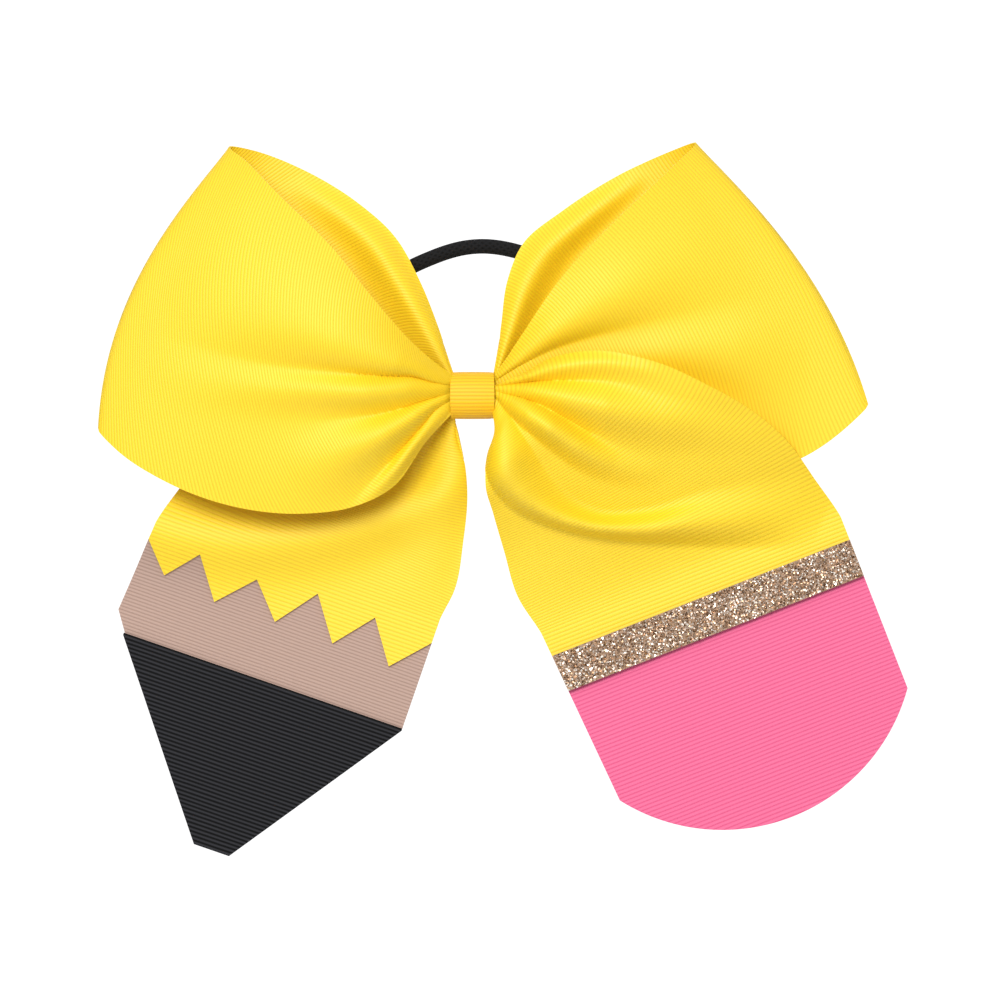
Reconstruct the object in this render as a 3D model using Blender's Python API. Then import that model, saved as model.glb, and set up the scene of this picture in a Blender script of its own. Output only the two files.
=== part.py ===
"""Cheer hair bow dressed as a pencil: a wide grosgrain ribbon folded in a figure of eight and pinched.

The bow stands in the XZ plane and faces -Y, with its tails down. The origin is the middle of the
flat back of its centre wrap. Lengths are in metres. One ribbon makes three passes through the pinch:

  front pass   left loop's front panel  -> right tail
  middle pass  left loop's back panel   -> right loop's front panel
  back pass    left tail                -> right loop's back panel

The ribbon is cut here where its tails bend, because a tail swings on the gathers at its root.
The shapes below are worked out about the middle of the pinch, which the empty "bow" stands for.
"""

import math

import bmesh
import bpy
import numpy as np
from mathutils import Matrix

MM = 0.001

# ---------------------------------------------------------------- driving dimensions
RIBBON_WIDTH = 75 * MM  # wide grosgrain of the loops and tails
RIBBON_THICKNESS = 0.5 * MM
LAYER_GAP = 0.3 * MM  # between any two pieces that touch

LOOP_DEPTH = 19 * MM  # how far the left loop's upper edge stands forward of the pinch
RIGHT_LOOP_DEPTH = 12.5 * MM  # less on the right, where a tail lies over the loop
TAIL_HINGE_Z = 2 * MM  # a tail swings about a line beside the pinch, this far above its middle
TAIL_DROP = 8.5 * MM  # how far the flat tail ends lie behind the pinch

PLEATS = 2  # waves across a gathered pass
PLEAT_DEPTH = 0.7 * MM  # half the height of a wave in the pinch
PLEAT_SWELL = 1.8 * MM  # the same where the gathers of a front panel open out
TAIL_SHOULDER = 0.5  # the share of the pinched height, above the middle, that a tail keeps at its root
TAIL_WAVES = 0.5  # the height of a tail's waves, as a share of a loop's
QUICK_FADE = 2.2  # how many times sooner the waves die out on a tail or a loop's back panel
PASS_PITCH = 1.8 * MM  # from one pass to the next in the pinch
GATHER_HEIGHT = 7.8 * MM  # the ribbon's width once it is pinched

THREAD_DIAMETER = 0.6 * MM
THREAD_TURNS = 4
THREAD_PITCH = 1.0 * MM
THREAD_CORNER = 0.9 * MM

WRAP_WIDTH = 10 * MM  # narrow grosgrain round the middle
WRAP_THICKNESS = 0.5 * MM
WRAP_CORNER = 1.8 * MM
WRAP_LAP = 5.0 * MM  # how far its outer end laps over its inner end
GLUE_THICKNESS = 0.3 * MM
GLUE_MARGIN = 0.7 * MM  # from the film's edge to the lap's

ELASTIC_DIAMETER = 3.6 * MM
ELASTIC_LOOP_WIDTH = 50 * MM  # across the middles of the cord
ELASTIC_LOOP_HEIGHT = 36 * MM
ELASTIC_LEAN = 5 * MM  # how far the loop's top stands behind the cord in the pinch
ELASTIC_TILT = 0.11  # how much lower the loop hangs on its left, as a share of its height
SLEEVE_LENGTH = 8 * MM
SLEEVE_WALL = 0.5 * MM

TOOTH_COUNT = 5  # the zigzag end of the yellow ribbon, over the beige one
TOOTH_DEPTH = 8.8 * MM
FIRST_TOOTH = 0.36  # the share of the first tooth that the selvedge leaves
WOOD_LENGTH = 22 * MM  # beige from the roots of the teeth to the black point
POINT_LENGTH = 43 * MM  # the black point, from its straight edge to its tip
POINT_TIP = 9.0 * MM  # the tip's flat
POINT_LEAN = 3.3 * MM  # the tip is this far to the inner side of the ribbon's middle
POINT_SHOULDER = 4.6 * MM  # how far above the black edge the outer side starts to taper
UNDERLAP = 6 * MM  # how far a ribbon runs on under the one glued over its end
LEAST_EDGE = 0.6 * MM  # what a cut leaves of the point's edge at its corners

BAND_WIDTH = 9.4 * MM  # glitter band
ERASER_LENGTH = 29.3 * MM  # pink from the band to the corners of the round end
ERASER_CROWN = 18.9 * MM  # how far the round end stands out past its corners

# ---------------------------------------------------------------- what follows from them
GATHER_HALF = GATHER_HEIGHT / 2
GATHER_LENGTH = WRAP_WIDTH - 2 * LAYER_GAP
BUNDLE_HALF_DEPTH = PASS_PITCH + PLEAT_DEPTH + RIBBON_THICKNESS / 2
THREAD_REACH = LAYER_GAP + THREAD_DIAMETER  # from the gathers to the outside of the thread
WRAP_HALF_HEIGHT = GATHER_HALF + THREAD_REACH + LAYER_GAP + WRAP_THICKNESS / 2
ELASTIC_Y = BUNDLE_HALF_DEPTH + THREAD_REACH + LAYER_GAP + ELASTIC_DIAMETER / 2
WRAP_FRONT_Y = -(BUNDLE_HALF_DEPTH + THREAD_REACH + LAYER_GAP + WRAP_THICKNESS / 2)
WRAP_BACK_Y = ELASTIC_Y + ELASTIC_DIAMETER / 2 + LAYER_GAP + WRAP_THICKNESS / 2
LAP_STEP = WRAP_THICKNESS + LAYER_GAP + GLUE_THICKNESS + LAYER_GAP
PINCH_Y = -(WRAP_BACK_Y + LAP_STEP + WRAP_THICKNESS / 2)  # the pinch, from the wrap's flat back
ROOT_X = WRAP_WIDTH / 2 + 2 * LAYER_GAP  # where a loop or tail leaves the pinch
LAYER_STEP = RIBBON_THICKNESS + LAYER_GAP  # from one glued layer to the next

FRONT_PASS_Y = -PASS_PITCH
MIDDLE_PASS_Y = 0.0
BACK_PASS_Y = PASS_PITCH

# Each tail's straight end: the outer corner of its reference line, and the way the ribbon runs.
# Outlines are in ribbon widths, so that the bow grows with its ribbon.
LEFT_RUN = (-0.326, -0.9454)
RIGHT_RUN = (0.364, -0.9314)
LEFT_INNER_CORNER = (-0.232, -1.081)  # the black point's straight edge, at the inner selvedge
RIGHT_INNER_CORNER = (0.472, -1.314)  # the round end's corner, at the inner selvedge

# ---------------------------------------------------------------- curves


def smooth_curve(points, count):
    """A curve through the points, as count points evenly spaced along it."""
    knots = np.array(points, float)
    step = np.maximum(np.linalg.norm(np.diff(knots, axis=0), axis=1), 1e-9)
    at = np.concatenate([[0], np.cumsum(step)])
    slope = np.diff(knots, axis=0) / step[:, None]
    tangent = np.empty_like(knots)
    tangent[0], tangent[-1] = slope[0], slope[-1]
    before, after = step[:-1, None], step[1:, None]
    tangent[1:-1] = (after * slope[:-1] + before * slope[1:]) / (before + after)
    fine = np.linspace(0, at[-1], 40 * len(knots))
    i = np.clip(np.searchsorted(at, fine, side="right") - 1, 0, len(step) - 1)
    h = step[i][:, None]
    t = ((fine - at[i]) / step[i])[:, None]
    line = (
        (2 * t**3 - 3 * t**2 + 1) * knots[i]
        + (t**3 - 2 * t**2 + t) * h * tangent[i]
        + (3 * t**2 - 2 * t**3) * knots[i + 1]
        + (t**3 - t**2) * h * tangent[i + 1]
    )
    return evenly(line, count)


def evenly(line, count):
    """The same line as count points evenly spaced along it."""
    along = np.concatenate([[0], np.cumsum(np.linalg.norm(np.diff(line, axis=0), axis=1))])
    at = np.linspace(0, along[-1], count)
    return np.stack([np.interp(at, along, line[:, k]) for k in range(3)], axis=1)


def at_shares(line, shares):
    """Points of an evenly spaced line at these shares of its length."""
    where = np.asarray(shares) * (len(line) - 1)
    return np.stack([np.interp(where, np.arange(len(line)), line[:, k]) for k in range(3)], axis=-1)


def selvedge(points):
    """Control points (x, depth, z): x and z in ribbon widths, and depth as it stands."""
    return [(x * RIBBON_WIDTH, y, z * RIBBON_WIDTH) for x, y, z in points]


def root(side, pass_y, up):
    """Where a selvedge leaves the pinch: side is -1 left or 1 right, up is 1 at the top and -1 below."""
    return (side * ROOT_X, pass_y, up * GATHER_HALF)


def pleat_wave(v):
    """The gathers' waves across the ribbon, from -1 to 1, crests forward at both selvedges."""
    return -np.cos(2 * math.pi * PLEATS * v)


# ---------------------------------------------------------------- meshes


def linked(name, mesh, material, pivot=(0, 0, 0)):
    """A new object of that mesh, with its origin at the pivot that it swings about."""
    mesh.transform(Matrix.Translation(pivot).inverted())
    mesh.materials.append(material)
    obj = bpy.data.objects.new(name, mesh)
    obj.parent = bpy.data.objects["bow"]
    obj.location = pivot
    bpy.context.scene.collection.objects.link(obj)
    return obj


def mesh_of(name, vertices, faces):
    """A smooth shaded mesh with its sharp edges marked and its faces pointing out."""
    mesh = bpy.data.meshes.new(name)
    mesh.from_pydata([tuple(map(float, p)) for p in vertices], [], faces)
    bm = bmesh.new()
    bm.from_mesh(mesh)
    bmesh.ops.recalc_face_normals(bm, faces=bm.faces)
    if bm.calc_volume(signed=True) < 0:
        bmesh.ops.reverse_faces(bm, faces=bm.faces)
    bm.to_mesh(mesh)
    bm.free()
    mesh.shade_smooth()
    mesh.set_sharp_from_angle(angle=math.radians(40))
    return mesh


def grid_normals(grid):
    """The unit normal at each point of a grid of points."""
    down = np.gradient(grid, axis=0)
    across = np.gradient(grid, axis=1)
    normal = np.cross(down, across)
    return normal / np.maximum(np.linalg.norm(normal, axis=2, keepdims=True), 1e-12)


def ribbon_solid(name, grid, material, layer=0, pivot=(0, 0, 0)):
    """A ribbon of even thickness about a grid of points. A layer of 1 is one in front, and -1 one behind."""
    rows, columns = grid.shape[:2]
    normal = grid_normals(grid)
    normal *= -np.sign(normal[..., 1].mean())
    middle = grid + normal * (layer * LAYER_STEP)
    half = RIBBON_THICKNESS / 2
    vertices = np.concatenate([(middle + normal * half).reshape(-1, 3), (middle - normal * half).reshape(-1, 3)])
    other = rows * columns
    faces = []
    for i in range(rows - 1):
        for j in range(columns - 1):
            a, b = i * columns + j, (i + 1) * columns + j
            faces.append((a, b, b + 1, a + 1))
            faces.append((other + a + 1, other + b + 1, other + b, other + a))
    rim = [j for j in range(columns)]
    rim += [i * columns + columns - 1 for i in range(1, rows)]
    rim += [(rows - 1) * columns + j for j in range(columns - 2, -1, -1)]
    rim += [i * columns for i in range(rows - 2, 0, -1)]
    for a, b in zip(rim, rim[1:] + rim[:1]):
        faces.append((a, b, other + b, other + a))
    return linked(name, mesh_of(name, vertices, faces), material, pivot)


def tube_solid(name, path, radius, sides, material, pivot=(0, 0, 0)):
    """A round tube along a path of points, with flat ends."""
    path = np.array(path)
    tangent = np.gradient(path, axis=0)
    tangent /= np.linalg.norm(tangent, axis=1, keepdims=True)
    start = np.array([0.0, 1.0, 0.0]) if abs(tangent[0][1]) < 0.9 else np.array([1.0, 0.0, 0.0])
    vertices = []
    side_way = np.cross(tangent[0], start)
    for point, way in zip(path, tangent):
        side_way = side_way - way * np.dot(side_way, way)
        side_way /= np.linalg.norm(side_way)
        up_way = np.cross(way, side_way)
        for k in range(sides):
            angle = 2 * math.pi * k / sides
            vertices.append(point + radius * (math.cos(angle) * side_way + math.sin(angle) * up_way))
    rings = len(path)
    faces = [tuple(range(sides)), tuple(range((rings - 1) * sides, rings * sides))[::-1]]
    for i in range(rings - 1):
        for k in range(sides):
            a, b, n = i * sides, (i + 1) * sides, (k + 1) % sides
            faces.append((a + k, a + n, b + n, b + k))
    return linked(name, mesh_of(name, vertices, faces), material, pivot)


def make_material(name, colour, roughness, metallic=0.0):
    """A plain Principled material."""
    material = bpy.data.materials.new(name)
    material.use_nodes = True
    shader = material.node_tree.nodes["Principled BSDF"]
    shader.inputs["Base Color"].default_value = (*colour, 1)
    shader.inputs["Roughness"].default_value = roughness
    shader.inputs["Metallic"].default_value = metallic
    return material


# ---------------------------------------------------------------- loops

LOOP_COLUMNS = 14
PANEL_ROWS = 11  # from the pinch to the fold
ROW_CROWDING = 1.15  # above 1, a loop's rows stand closer near its pinch
FRONT_FADE = 8  # how quickly the back's gathers take over from the front's at the fold
FOLD_BULGE_SPREAD = 0.34  # of a panel
PLEATS_END = 0.3  # share of a panel over which the pinch's pleats die away
SWELL_END = 0.62  # share of a panel over which the opened pleats die away
CURVE_POINTS = 600  # in a selvedge, before it is divided evenly
EVEN_POINTS = 300  # in a selvedge, once it is divided evenly
RING_POINTS = 4000  # in the hair elastic's line, before it is divided evenly


def loop_grid(side, front_y, back_y, top_front, top_back, bottom_front, bottom_back, bulge):
    """Both panels of a loop as one strip, from its front root round the fold to its back root."""
    top = selvedge(top_front + top_back)
    bottom = selvedge(bottom_front + bottom_back)
    top = [root(side, front_y, 1)] + top + [root(side, back_y, 1)]
    bottom = [root(side, front_y, -1)] + bottom + [root(side, back_y, -1)]
    rows = []
    for line, corner in ((top, len(top_front)), (bottom, len(bottom_front))):
        whole = smooth_curve(line, CURVE_POINTS)
        fold = np.argmin(np.linalg.norm(whole - np.array(line[corner]), axis=1))
        front = evenly(whole[: fold + 1], EVEN_POINTS)
        back = evenly(whole[fold:], EVEN_POINTS)
        near_root = np.linspace(0, 1, PANEL_ROWS) ** ROW_CROWDING
        rows.append(np.concatenate([at_shares(front, near_root), at_shares(back, 1 - near_root[:-1][::-1])]))
    share = np.linspace(0, 1, LOOP_COLUMNS + 1)
    grid = rows[0][:, None] * (1 - share[None, :, None]) + rows[1][:, None] * share[None, :, None]
    out = np.linspace(-1, 1, len(grid))[:, None]  # 0 at the fold, and positive on the back panel
    away = 1 - np.abs(out)  # 0 at the roots
    front = np.clip(-FRONT_FADE * out, 0, 1)
    waves = wave_height(away, PLEAT_SWELL) * front + wave_height(QUICK_FADE * away, 0) * (1 - front)
    grid[..., 1] += waves * pleat_wave(share)[None]
    arch = 4 * share * (1 - share)
    corner_line = rows[1][len(grid) // 2] - rows[0][len(grid) // 2]
    outward = np.array([corner_line[2], 0, -corner_line[0]]) / np.linalg.norm(corner_line)
    outward *= side * np.sign(outward[0])
    grid += (bulge * np.exp(-((out / FOLD_BULGE_SPREAD) ** 2)) * arch[None])[..., None] * outward
    return grid


def wave_height(away, swell):
    """The height of the gathers' waves at a share of the way from a root to the open ribbon."""
    opened = swell * np.sin(math.pi * np.clip(away / SWELL_END, 0, 1)) ** 2
    return PLEAT_DEPTH * np.clip(1 - away / PLEATS_END, 0, 1) + opened


def make_left_loop(material):
    """The left loop: the front pass turned back on the middle pass."""
    d = LOOP_DEPTH
    grid = loop_grid(
        -1,
        FRONT_PASS_Y,
        MIDDLE_PASS_Y,
        [(-0.199, -0.52 * d, 0.163), (-0.325, -0.84 * d, 0.307), (-0.453, -d, 0.468),
         (-0.623, -0.79 * d, 0.637), (-0.735, -0.4 * d, 0.752), (-0.791, -0.05 * d, 0.799)],
        [(-0.708, 4 * MM, 0.787), (-0.537, 6.5 * MM, 0.719), (-0.368, 6 * MM, 0.613),
         (-0.257, 5 * MM, 0.511), (-0.177, 3.5 * MM, 0.367), (-0.113, 1.5 * MM, 0.205)],
        [(-0.155, -6.5 * MM, -0.150), (-0.259, -9 * MM, -0.296), (-0.376, -10 * MM, -0.359),
         (-0.535, -10 * MM, -0.384), (-0.769, -8 * MM, -0.363), (-1.005, -5 * MM, -0.276),
         (-1.155, -2.5 * MM, -0.177), (-1.219, 0, -0.104)],
        [(-1.10, 2 * MM, -0.13), (-0.83, 3 * MM, -0.175), (-0.55, 2.5 * MM, -0.175),
         (-0.29, 1 * MM, -0.12)],
        5.7 * MM,
    )
    return ribbon_solid("left_loop", grid, material)


def make_right_loop(material):
    """The right loop: the middle pass turned back on the back pass."""
    d = RIGHT_LOOP_DEPTH
    grid = loop_grid(
        1,
        MIDDLE_PASS_Y,
        BACK_PASS_Y,
        [(0.149, -0.4 * d, 0.180), (0.283, -0.8 * d, 0.376), (0.461, -d, 0.563),
         (0.639, -0.6 * d, 0.732), (0.719, 0.0 * d, 0.804)],
        [(0.639, 4.5 * MM, 0.787), (0.461, 7 * MM, 0.705), (0.283, 7 * MM, 0.591),
         (0.159, 6.5 * MM, 0.488), (0.109, 5 * MM, 0.368), (0.089, 3.5 * MM, 0.220)],
        [(0.16, 0.7 * MM, -0.11), (0.32, 2 * MM, -0.215), (0.56, 2.8 * MM, -0.275),
         (0.80, 3 * MM, -0.265), (1.056, 2.5 * MM, -0.207), (1.239, 1 * MM, -0.073),
         (1.279, 1.5 * MM, -0.031)],
        [(1.14, 4 * MM, -0.06), (0.86, 6 * MM, -0.12), (0.56, 7 * MM, -0.14),
         (0.30, 5.5 * MM, -0.10)],
        5.2 * MM,
    )
    return ribbon_solid("right_loop", grid, material)


# ---------------------------------------------------------------- tails


class Tail:
    """A tail's middle surface: v runs from its outer selvedge to its inner one, and s along it.

    s is measured from a line across the tail, and is negative towards the pinch. The tail is flat
    from flat_from on. outer and inner are the selvedges' bends between the pinch and there.
    """

    def __init__(self, side, pass_y, hinge_y, run, inner_corner, flat_from, outer, inner):
        self.run = np.array([run[0], 0, run[1]]) / np.linalg.norm(run)
        self.across = np.array([-self.run[2], 0, self.run[0]]) * -side  # outer to inner
        self.pivot = (side * ROOT_X, hinge_y, TAIL_HINGE_Z)
        self.flat_from = flat_from
        corner = np.array([inner_corner[0] * RIBBON_WIDTH, TAIL_DROP, inner_corner[1] * RIBBON_WIDTH])
        self.outer_corner = corner - self.across * RIBBON_WIDTH
        self.selvedges = []
        for up, bends, end in ((TAIL_SHOULDER, outer, self.outer_corner), (-1, inner, corner)):
            flat = end + self.run * flat_from
            curve = smooth_curve([root(side, pass_y, up)] + selvedge(bends) + [tuple(flat), tuple(end)], CURVE_POINTS)
            stop = np.argmin(np.linalg.norm(curve - flat, axis=1))
            self.selvedges.append(evenly(curve[: stop + 1], EVEN_POINTS))

    def flat_points(self, s, v):
        """Points of the flat part, for s and v as arrays of one shape."""
        return self.outer_corner + self.run * s[..., None] + self.across * (v * RIBBON_WIDTH)[..., None]

    def flat_grid(self, start, end, v, rows):
        """Rows of points from start(v) to end(v), all of them on the flat part."""
        share = np.linspace(0, 1, rows)[:, None]
        s = start(v)[None] * (1 - share) + end(v)[None] * share
        return self.flat_points(s, np.broadcast_to(v, s.shape))

    def whole_grid(self, end, v, rows, flat_rows):
        """Rows of points from the pinch to end(v)."""
        share = np.linspace(0, 1, rows)
        outer, inner = (at_shares(line, share)[:, None] for line in self.selvedges)
        gathered = outer * (1 - v[None, :, None]) + inner * v[None, :, None]
        waves = TAIL_WAVES * wave_height(QUICK_FADE * share[:, None], 0)
        gathered[..., 1] += waves * pleat_wave(v)[None]
        return np.concatenate([gathered, self.flat_grid(constant(self.flat_from), end, v, flat_rows)[1:]])


def constant(value):
    """An end of a ribbon that is cut square at s = value."""
    return lambda v: np.full(len(v), value)


def through(corners):
    """An end of a ribbon that is cut straight from corner to corner, each (v, s)."""
    vs, ss = zip(*corners)
    return lambda v: np.interp(v, vs, ss)


def columns_for(corners, parts):
    """v at every corner, with each stretch between them cut in parts."""
    vs = [corner[0] for corner in corners]
    return np.unique(np.concatenate([np.linspace(a, b, parts + 1) for a, b in zip(vs, vs[1:])]))


def zigzag(base):
    """The corners (v, s) of the teeth, whose roots are at s = base."""
    tooth = 1 / (TOOTH_COUNT - 1 + 0.5 + FIRST_TOOTH)
    tips = [(FIRST_TOOTH * tooth + k * tooth) for k in range(TOOTH_COUNT)]
    corners = [(0, base + TOOTH_DEPTH * (1 - 2 * FIRST_TOOTH))]
    for tip in tips:
        corners.append((tip, base + TOOTH_DEPTH))
        if tip + tooth / 2 < 1 - 1e-6:
            corners.append((tip + tooth / 2, base))
    corners.append((1, base))
    return corners


def point_corners():
    """The corners (v, s) of the black point's cut, outer selvedge to inner."""
    middle = 0.5 * RIBBON_WIDTH + POINT_LEAN
    return [
        (0, -POINT_SHOULDER),
        ((middle - POINT_TIP / 2) / RIBBON_WIDTH, POINT_LENGTH),
        ((middle + POINT_TIP / 2) / RIBBON_WIDTH, POINT_LENGTH),
        (1, 0.3 * MM),
    ]


def make_left_tail(yellow, beige, black):
    """The left tail: yellow cut in teeth over beige, and the black point over the beige's end."""
    tail = Tail(
        -1,
        BACK_PASS_Y,
        BACK_PASS_Y,
        LEFT_RUN,
        LEFT_INNER_CORNER,
        -(WOOD_LENGTH + UNDERLAP),
        [(-0.12, 3.2 * MM, 0), (-0.20, 5.0 * MM, -0.02), (-0.36, 7.8 * MM, -0.05), (-0.62, 9.8 * MM, -0.13),
         (-0.85, 9.4 * MM, -0.225), (-0.95, 8.9 * MM, -0.325)],
        [(-0.088, 2.6 * MM, -0.084), (-0.058, 3.8 * MM, -0.13), (-0.030, 5.6 * MM, -0.23),
         (-0.023, 6.6 * MM, -0.32), (-0.037, 7.8 * MM, -0.476), (-0.066, 8.4 * MM, -0.63)],
    )
    teeth = zigzag(-WOOD_LENGTH)
    yellow_grid = tail.whole_grid(through(teeth), columns_for(teeth, 2), 10, 4)
    ribbon_solid("left_tail", yellow_grid, yellow, pivot=tail.pivot)
    point = point_corners()
    wood_v = np.unique(np.concatenate([columns_for(point, 3), [POINT_SHOULDER / RIBBON_WIDTH]]))
    wood_end = through([(v, min(s, UNDERLAP)) for v, s in zip(wood_v, through(point)(wood_v) - LAYER_GAP)])
    wood_grid = tail.flat_grid(constant(-WOOD_LENGTH - UNDERLAP), wood_end, wood_v, 3)
    ribbon_solid("wood_ribbon", wood_grid, beige, layer=-1, pivot=tail.pivot)
    lead_from = POINT_SHOULDER / (POINT_SHOULDER + POINT_LENGTH) * point[1][0]
    lead_v = columns_for([(lead_from, 0)] + point[1:3] + [(1, 0)], 2)
    lead_end = through([(lead_from, LEAST_EDGE)] + point[1:3] + [(1, LEAST_EDGE)])
    lead_grid = tail.flat_grid(constant(0.0), lead_end, lead_v, 3)
    ribbon_solid("lead_ribbon", lead_grid, black, pivot=tail.pivot)


def make_right_tail(yellow, glitter, pink):
    """The right tail: yellow over pink with a round end, and a glitter band over the join."""
    band_top = -(ERASER_LENGTH + BAND_WIDTH)
    tail = Tail(
        1,
        FRONT_PASS_Y,
        WRAP_FRONT_Y - WRAP_THICKNESS / 2,
        RIGHT_RUN,
        RIGHT_INNER_CORNER,
        band_top - UNDERLAP,
        [(0.149, -5.5 * MM, 0.060), (0.239, -9 * MM, 0.109), (0.372, -12 * MM, 0.137),
         (0.571, -13 * MM, 0.107), (0.760, -11 * MM, 0.024), (0.907, -6.5 * MM, -0.061),
         (1.000, -2.5 * MM, -0.140), (1.105, 4.5 * MM, -0.279)],
        [(0.068, -4 * MM, -0.12), (0.044, -6 * MM, -0.20), (0.037, -6.5 * MM, -0.287),
         (0.066, -1.5 * MM, -0.385), (0.108, 4 * MM, -0.509), (0.165, 7.2 * MM, -0.655)],
    )
    v = np.linspace(0, 1, LOOP_COLUMNS + 1)
    yellow_grid = tail.whole_grid(constant(band_top + BAND_WIDTH / 2), v, 14, 3)
    ribbon_solid("right_tail", yellow_grid, yellow, pivot=tail.pivot)
    band = tail.flat_grid(constant(band_top), constant(-ERASER_LENGTH), np.linspace(0, 1, 5), 2)
    ribbon_solid("glitter_band", band, glitter, layer=1, pivot=tail.pivot)
    radius = (RIBBON_WIDTH**2 / 4 + ERASER_CROWN**2) / (2 * ERASER_CROWN)

    def round_end(at):
        return np.sqrt(np.maximum(radius**2 - ((at - 0.5) * RIBBON_WIDTH) ** 2, 0)) - (radius - ERASER_CROWN)

    eraser = tail.flat_grid(constant(band_top + LAYER_GAP), round_end, np.linspace(0, 1, 21), 3)
    ribbon_solid("eraser_ribbon", eraser, pink, layer=-1, pivot=tail.pivot)


# ---------------------------------------------------------------- middle


def make_gathers(material):
    """The three pleated passes of the ribbon inside the wrap."""
    v = np.linspace(0, 1, 8 * PLEATS + 1)
    for name, y in (("front_gather", FRONT_PASS_Y), ("middle_gather", MIDDLE_PASS_Y), ("back_gather", BACK_PASS_Y)):
        x = np.linspace(-GATHER_LENGTH / 2, GATHER_LENGTH / 2, 3)[:, None]
        grid = np.empty((len(x), len(v), 3))
        grid[..., 0] = x
        grid[..., 1] = y + PLEAT_DEPTH * pleat_wave(v)
        grid[..., 2] = GATHER_HALF * (1 - 2 * v)
        ribbon_solid(name, grid, material)


def rounded_section(half_height, front, back, corner, steps):
    """A closed round-cornered outline in the YZ plane, from the middle of its back, going down."""
    points = []
    centres = ((back - corner, -half_height + corner, 0), (front + corner, -half_height + corner, 1),
               (front + corner, half_height - corner, 2), (back - corner, half_height - corner, 3))
    for y, z, quarter in centres:
        for k in range(steps + 1):
            angle = -math.pi / 2 * (quarter + k / steps)
            points.append((y + corner * math.cos(angle), z + corner * math.sin(angle)))
    return [(back, 0.0)] + points


def make_thread(material):
    """The waxed thread that binds the gathers: turns side by side round the bundle."""
    reach = LAYER_GAP + THREAD_DIAMETER / 2
    half, deep = GATHER_HALF + reach, BUNDLE_HALF_DEPTH + reach
    ring = rounded_section(half, -deep, deep, THREAD_CORNER, 2)
    turns = []
    for k in range(THREAD_TURNS * len(ring) + 1):
        x = THREAD_PITCH * (k / len(ring) - THREAD_TURNS / 2)
        turns.append((x, *ring[k % len(ring)]))
    tube_solid("binding_thread", turns, THREAD_DIAMETER / 2, 6, material)


def make_wrap(material, glue):
    """The narrow ribbon round the middle, lapped and glued at the back."""
    section = rounded_section(WRAP_HALF_HEIGHT, WRAP_FRONT_Y, WRAP_BACK_Y, WRAP_CORNER, 5)
    lap_y = WRAP_BACK_Y + LAP_STEP
    path = [(WRAP_BACK_Y, WRAP_LAP / 2)] + section + [(lap_y, WRAP_LAP / 2), (lap_y, -WRAP_LAP / 2)]
    wrap_solid("centre_wrap", path, material)
    y = WRAP_BACK_Y + WRAP_THICKNESS / 2 + LAYER_GAP
    x, z = WRAP_WIDTH / 2 - GLUE_MARGIN, WRAP_LAP / 2 - GLUE_MARGIN
    corners = [(sx * x, at, sz * z) for at in (y, y + GLUE_THICKNESS)
               for sx, sz in ((-1, -1), (1, -1), (1, 1), (-1, 1))]
    faces = [(0, 1, 2, 3), (7, 6, 5, 4)] + [(k, k + 4, (k + 1) % 4 + 4, (k + 1) % 4) for k in range(4)]
    linked("wrap_glue", mesh_of("wrap_glue", corners, faces), glue)


def wrap_solid(name, path, material):
    """The wrap: a path in the YZ plane, thickened and given the wrap's width."""
    line = np.array(path)
    along = np.gradient(line, axis=0)
    along /= np.linalg.norm(along, axis=1, keepdims=True)
    normal = np.stack([-along[:, 1], along[:, 0]], axis=1) * WRAP_THICKNESS / 2
    outline = np.concatenate([line + normal, (line - normal)[::-1]])
    count, rows = len(outline), len(line)
    vertices = [(x, y, z) for x in (WRAP_WIDTH / 2, -WRAP_WIDTH / 2) for y, z in outline]
    faces = [(k, (k + 1) % count, count + (k + 1) % count, count + k) for k in range(count)]
    for base in (0, count):
        for i in range(rows - 1):
            quad = (base + i, base + i + 1, base + count - 2 - i, base + count - 1 - i)
            faces.append(quad if base else quad[::-1])
    return linked(name, mesh_of(name, vertices, faces), material)


def elastic_path():
    """The hair elastic's middle line, from its join all the way round to it again."""
    half, top, lean = ELASTIC_LOOP_WIDTH / 2, ELASTIC_LOOP_HEIGHT, ELASTIC_LEAN
    right = [(ROOT_X, 0, 0), (0.44 * half, 0.45 * lean, 0.09 * top), (0.76 * half, 0.7 * lean, 0.25 * top),
             (0.97 * half, 0.85 * lean, 0.45 * top), (half, 0.9 * lean, 0.64 * top),
             (0.79 * half, lean, 0.85 * top), (0.42 * half, lean, 0.965 * top), (0.05 * half, lean, top)]
    left = [(-x, y, z * (1 - ELASTIC_TILT * x / half)) for x, y, z in right[::-1]]
    ring = [(x, ELASTIC_Y + y, z) for x, y, z in [(0, 0, 0)] + right + left]
    join = 4  # the point where the cord's ends meet
    count = len(ring)
    lapped = smooth_curve([ring[(join + k) % count] for k in range(-1, count + 2)], RING_POINTS)
    ends = [np.argmin(np.linalg.norm(part - ring[join], axis=1)) for part in np.split(lapped, 2)]
    return evenly(lapped[ends[0]:RING_POINTS // 2 + ends[1] + 1], 401)


def make_elastic(cord, sleeve):
    """The hair elastic, whose ends meet in a sleeve at its right side."""
    line = elastic_path()
    pivot = (0, ELASTIC_Y, 0)
    length = np.linalg.norm(np.diff(line, axis=0), axis=1).sum()
    cut = LAYER_GAP / 2 / length
    path = at_shares(line, np.linspace(cut, 1 - cut, 49))
    tube_solid("hair_elastic", path, ELASTIC_DIAMETER / 2, 10, cord, pivot)
    share = SLEEVE_LENGTH / 2 / length
    before, after = np.linspace(1 - share, 1, 4)[:-1], np.linspace(0, share, 4)
    inner = ELASTIC_DIAMETER / 2 + LAYER_GAP
    path = np.concatenate([at_shares(line, before), at_shares(line, after)])
    sleeve_solid("elastic_sleeve", path, inner, inner + SLEEVE_WALL, 12, sleeve, pivot)


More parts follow.
